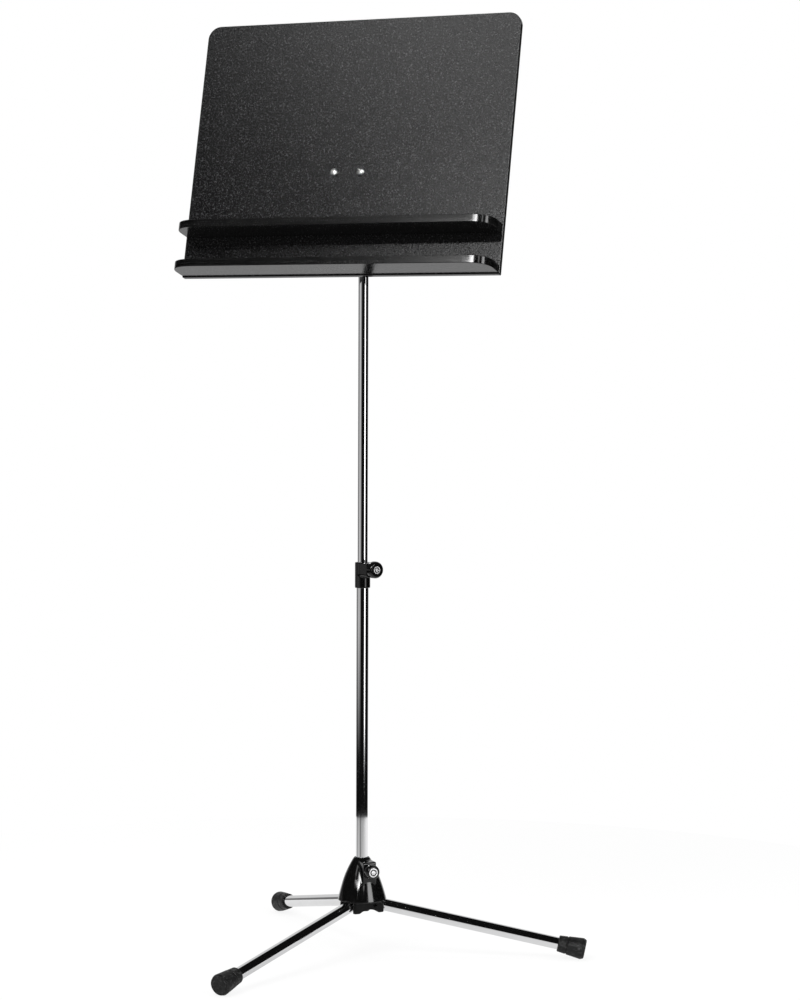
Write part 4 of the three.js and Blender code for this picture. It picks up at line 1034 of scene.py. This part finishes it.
def make_hinge_pin(number, where):
    """A hollow black pin with a rolled rim at each end."""
    node = f"hinge_pin_{number}"
    low, high = extent(node, where)
    end = max(-low.y, high.y)
    face, floor = end + PIN_RIM_HEIGHT, end - PIN_BORE_DEPTH
    half = [(PIN_R, 0), (PIN_R, end), (PIN_RIM_R, end), (PIN_RIM_R, face, 0.6)]
    half += [(PIN_BORE_R, face, 0.6), (PIN_BORE_R, floor), (0, floor)]
    corners = [(x, -z, *more) for x, z, *more in reversed(half[1:])] + half[1:]
    made = piece(f"{node}_detail", moved(lathe(rounded(corners), FINE), ALONG_MINUS_Y), where)
    dress(made, "column", "zinc_steel", [node], CAST_BLACK)


def make_cap(number, where):
    """A moulded rubber cap with a groove, pressed flat where it stands on the floor."""
    start = LEG_REACH - CAP_LENGTH
    groove = start + CAP_LENGTH * CAP_GROOVE
    floor = LEG_REACH - CAP_FLOOR
    corners = [(LEG_WAY, start), (CAP_SMALL_R - 0.4, start, 1.6), (CAP_SMALL_R + 0.9, groove - 1.1, 0.5)]
    corners += [(CAP_SMALL_R - 0.3, groove, 0.4), (CAP_SMALL_R + 1.4, groove + 1.1, 0.6)]
    corners += [(CAP_R, LEG_REACH - CAP_EDGE, 2.5), (CAP_R - 2.2, LEG_REACH, 2.2), (0, LEG_REACH)]
    corners += [(0, floor), (LEG_WAY, floor), (LEG_WAY, start)]
    made = piece(f"rubber_foot_{number}", moved(lathe(rounded(corners, steps=6)), ALONG_X), where)
    inverse = where.inverted()
    for vertex in made.data.vertices:
        spot = where @ vertex.co
        if spot.z < 0:
            spot.z = 0
            vertex.co = inverse @ spot
    dress(made, f"leg_{number}", "rubber", [f"foot_cap_{number}"], RUBBER)


# ---------- Studio ----------


def world_card(tree, azimuth, elevation, card):
    """How much of a soft card in the studio lies in a direction; angles in degrees."""
    centre, half_width, low, high, edge = card
    around = math_node(tree, "SUBTRACT", azimuth, centre)
    around = add_node(tree, "ShaderNodeMath", {0: around, 1: 180.0, 2: -180.0}, operation="WRAP").outputs[0]
    off = math_node(tree, "ABSOLUTE", around)
    wide = spread(tree, off, half_width - edge, half_width + edge, 1.0, 0.0)
    above = spread(tree, elevation, low - edge, low + edge)
    below = spread(tree, elevation, high - edge, high + edge, 1.0, 0.0)
    return times(tree, times(tree, wide, above), below)


# What the polished pieces reflect: (direction, half width, lowest and highest elevation, soft edge)
# in degrees, and the brightness of each card round the darkened front of the studio.
STUDIO_CARDS = [
    ((111.0, 35.0, -95.0, 48.0, 2.0), 0.85),  # pale backdrop behind the stand
    ((152.0, 10.0, -12.0, 48.0, 3.0), 0.22),  # the backdrop's dim left end
    ((-172.0, 20.0, -7.0, 6.0, 1.5), 0.35),  # pale wall on the left
    ((-140.0, 12.0, -7.0, 6.0, 1.5), 0.85),  # reflector at the left
    ((-116.0, 12.0, -7.0, 6.0, 1.5), 0.40),  # its dimmer neighbour
    ((-114.5, 5.0, 32.0, 48.0, 1.0), 2.9),  # glow above the soft box
    ((-94.5, 18.5, 27.6, 29.2, 0.6), 13.0),  # soft box above the player, brighter to its right:
    ((-91.5, 12.5, 27.2, 29.0, 0.5), 22.0),  # the ledges' front corners show it as a ramp
    ((-88.0, 9.5, 26.8, 29.0, 0.6), 36.0),
    ((-84.0, 6.0, 24.6, 29.0, 0.6), 60.0),
    ((-83.5, 8.5, 26.0, 38.0, 1.0), 15.0),  # its upper part, which the bell hub shows
    ((-80.0, 4.5, 26.0, 38.0, 1.0), 30.0),
    ((-22.0, 12.0, -8.0, 5.0, 1.0), 1.8),  # low reflector at the right
    ((-22.0, 2.5, -8.0, 5.0, 0.5), 6.0),  # strip light before it
    ((-21.0, 9.0, 8.0, 24.0, 1.5), 9.0),  # small soft box at the right
    ((-49.0, 3.0, 20.0, 40.0, 1.0), 4.0),  # strip light at the right front
]
FRONT_DARK = 0.006


def make_world():
    """White for the camera, soft and even for matt surfaces, and a studio for polished ones."""
    world = bpy.data.worlds.new("studio")
    bpy.context.scene.world = world
    world.use_nodes = True
    tree = world.node_tree
    tree.nodes.clear()
    direction = add_node(tree, "ShaderNodeTexCoord").outputs["Generated"]
    _, rise, azimuth = split(tree, direction)
    elevation = times(tree, math_node(tree, "ARCSINE", rise), 180 / math.pi)
    light = FRONT_DARK
    for card, brightness in STUDIO_CARDS:
        amount = times(tree, world_card(tree, azimuth, elevation, card), brightness)
        light = math_node(tree, "MAXIMUM", light, amount)
    path = add_node(tree, "ShaderNodeLightPath").outputs
    polished = math_node(tree, "MAXIMUM", path["Is Glossy Ray"], path["Is Transmission Ray"])
    softness = spread(tree, elevation, -12.0, 12.0, 0.15, 0.58)
    even = add_node(tree, "ShaderNodeBackground", {"Color": (1, 1, 1, 1), "Strength": softness})
    white = add_node(tree, "ShaderNodeBackground", {"Color": (1, 1, 1, 1), "Strength": 1.0})
    studio = add_node(tree, "ShaderNodeBackground", {"Strength": light})
    inner = add_node(tree, "ShaderNodeMixShader", {0: polished, 1: even.outputs[0], 2: studio.outputs[0]})
    seen = path["Is Camera Ray"]
    outer = add_node(tree, "ShaderNodeMixShader", {0: seen, 1: inner.outputs[0], 2: white.outputs[0]})
    add_node(tree, "ShaderNodeOutputWorld", {"Surface": outer.outputs[0]})


FLOOR_R = 1.25  # the floor's white disc, in metres; beyond it the white world goes on


def make_floor():
    """A white disc of floor that keeps a faint shadow and runs into the white of the world."""
    floor = piece("studio_floor", lathe([(0, 0), (FLOOR_R / MM, 0)]), place(0, 0, -0.5))
    made, tree = material("studio_floor", roughness=0.9, specular_ior_level=0.0)
    shader = tree.nodes[SHADER]
    shader.inputs["Base Color"].default_value = (0.95, 0.95, 0.95, 1)
    path = add_node(tree, "ShaderNodeLightPath").outputs
    seen = math_node(tree, "MAXIMUM", path["Is Camera Ray"], path["Is Glossy Ray"])
    seen = math_node(tree, "MAXIMUM", seen, path["Is Transmission Ray"])
    # In the chrome the floor has painted shade: it falls off towards the player, with two painted dark bands
    # across it, which start beyond the feet.
    back, _, azimuth = split(tree, mapped(tree, (1, 1, 1)))
    painted_shade_in_reflection = spread(tree, back, -0.9, 0.5, 0.35, 0.95)
    near = spread(tree, from_axis(tree), 0.6, 0.8, 1.0, 0.15)
    for centre, half_width in ((-93.0, 9.0), (-170.0, 12.0)):
        around = math_node(tree, "ABSOLUTE", math_node(tree, "SUBTRACT", azimuth, centre))
        painted_dark_band = math_node(tree, "MAXIMUM", spread(tree, around, half_width - 5, half_width + 5), near)
        painted_shade_in_reflection = times(tree, painted_shade_in_reflection, painted_dark_band)
    brightness = math_node(tree, "MAXIMUM", path["Is Camera Ray"], painted_shade_in_reflection)
    glow = add_node(tree, "ShaderNodeEmission", {"Color": (1, 1, 1, 1), "Strength": brightness})
    share = times(tree, seen, 0.88)
    mixed = add_node(tree, "ShaderNodeMixShader", {0: share, 1: shader.outputs[0], 2: glow.outputs[0]})
    tree.links.new(mixed.outputs[0], tree.nodes["Material Output"].inputs["Surface"])
    paint(floor, made)


def make_lamp(name, azimuth, elevation, distance, size, power):
    """A square soft lamp that looks at the middle of the stand; distances in metres."""
    lamp = bpy.data.lights.new(name, "AREA")
    lamp.shape = "SQUARE"
    lamp.size = size
    lamp.energy = power
    target = Vector((0, 0, 0.8))
    a, e = math.radians(azimuth), math.radians(elevation)
    way = Vector((math.cos(a) * math.cos(e), math.sin(a) * math.cos(e), math.sin(e)))
    aim = (-way).to_track_quat("-Z", "Y").to_matrix().to_4x4()
    made = add_object(name, lamp, Matrix.Translation(target + way * distance) @ aim)
    made.visible_glossy = False


# The camera stands on a circle round the column: its direction from the -Y side, its distance and
# height in metres, and how its aim turns from the column and leans down and to the side.
CAMERA = {"azimuth": 22.06, "distance": 3.979, "height": 0.90627}
AIM = {"turn": -0.835, "down": 2.775, "roll": 0.214}
LENS = 91.93  # in millimetres, over the usual sensor of 36 mm


def make_camera():
    camera = bpy.data.cameras.new("camera")
    camera.lens = LENS
    camera.clip_end = 100
    around = math.radians(CAMERA["azimuth"])
    reach = CAMERA["distance"]
    position = Matrix.Translation((reach * math.sin(around), -reach * math.cos(around), CAMERA["height"]))
    aim = turn(CAMERA["azimuth"] + AIM["turn"], "Z") @ turn(90 - AIM["down"], "X")
    where = position @ aim @ turn(AIM["roll"], "Z")
    bpy.context.scene.camera = add_object("camera", camera, where)


# ---------- The scene ----------

make_camera()
make_world()
make_floor()
make_lamp("key_lamp", -100.0, 48.0, 3.2, 1.6, 60.0)
make_lamp("side_lamp", -15.0, 30.0, 3.5, 1.8, 30.0)
make_lamp("top_lamp", 120.0, 75.0, 3.0, 2.0, 30.0)
finish_nodes(NYLON, "leg_plug_1 leg_plug_2 leg_plug_3 tube_foot_plug guide_bush collar_bush")
finish_nodes(NYLON, "base_brake_pad height_brake_pad friction_washer_left friction_washer_right")
finish_nodes(BRASS, "hub_insert height_insert tilt_knob_insert")
finish_nodes(ZINC, "base_clamp_screw height_clamp_screw spider_screw head_pin tilt_washer")
make_panel()
make_ledge("lower_ledge", "lower_tray")
make_ledge("upper_ledge", "upper_shelf")
for ledge_screw in LEDGE_SCREWS:
    make_ledge_screw(ledge_screw)
for bolt_side in ("left", "right"):
    make_panel_bolt(bolt_side)
    make_bolt_nut(bolt_side)
make_bracket()
make_tilt_bolt()
make_tilt_head()
make_knob("base_clamp", BASE_KNOB, "base_knob", clamp_frame(BASE_CLAMP))
make_knob("height_clamp", HEIGHT_KNOB, "height_knob", clamp_frame(HEIGHT_CLAMP))
make_knob("tilt_clamp", TILT_KNOB, "tilt_knob", DESK @ ALONG_X)
make_tube("upper_tube", "mast")
make_tube("lower_tube", "column")
make_collar()
make_hub()
make_spider()
for leg_number in (1, 2, 3):
    make_leg(leg_number)

bpy.context.scene.view_settings.view_transform = "Standard"
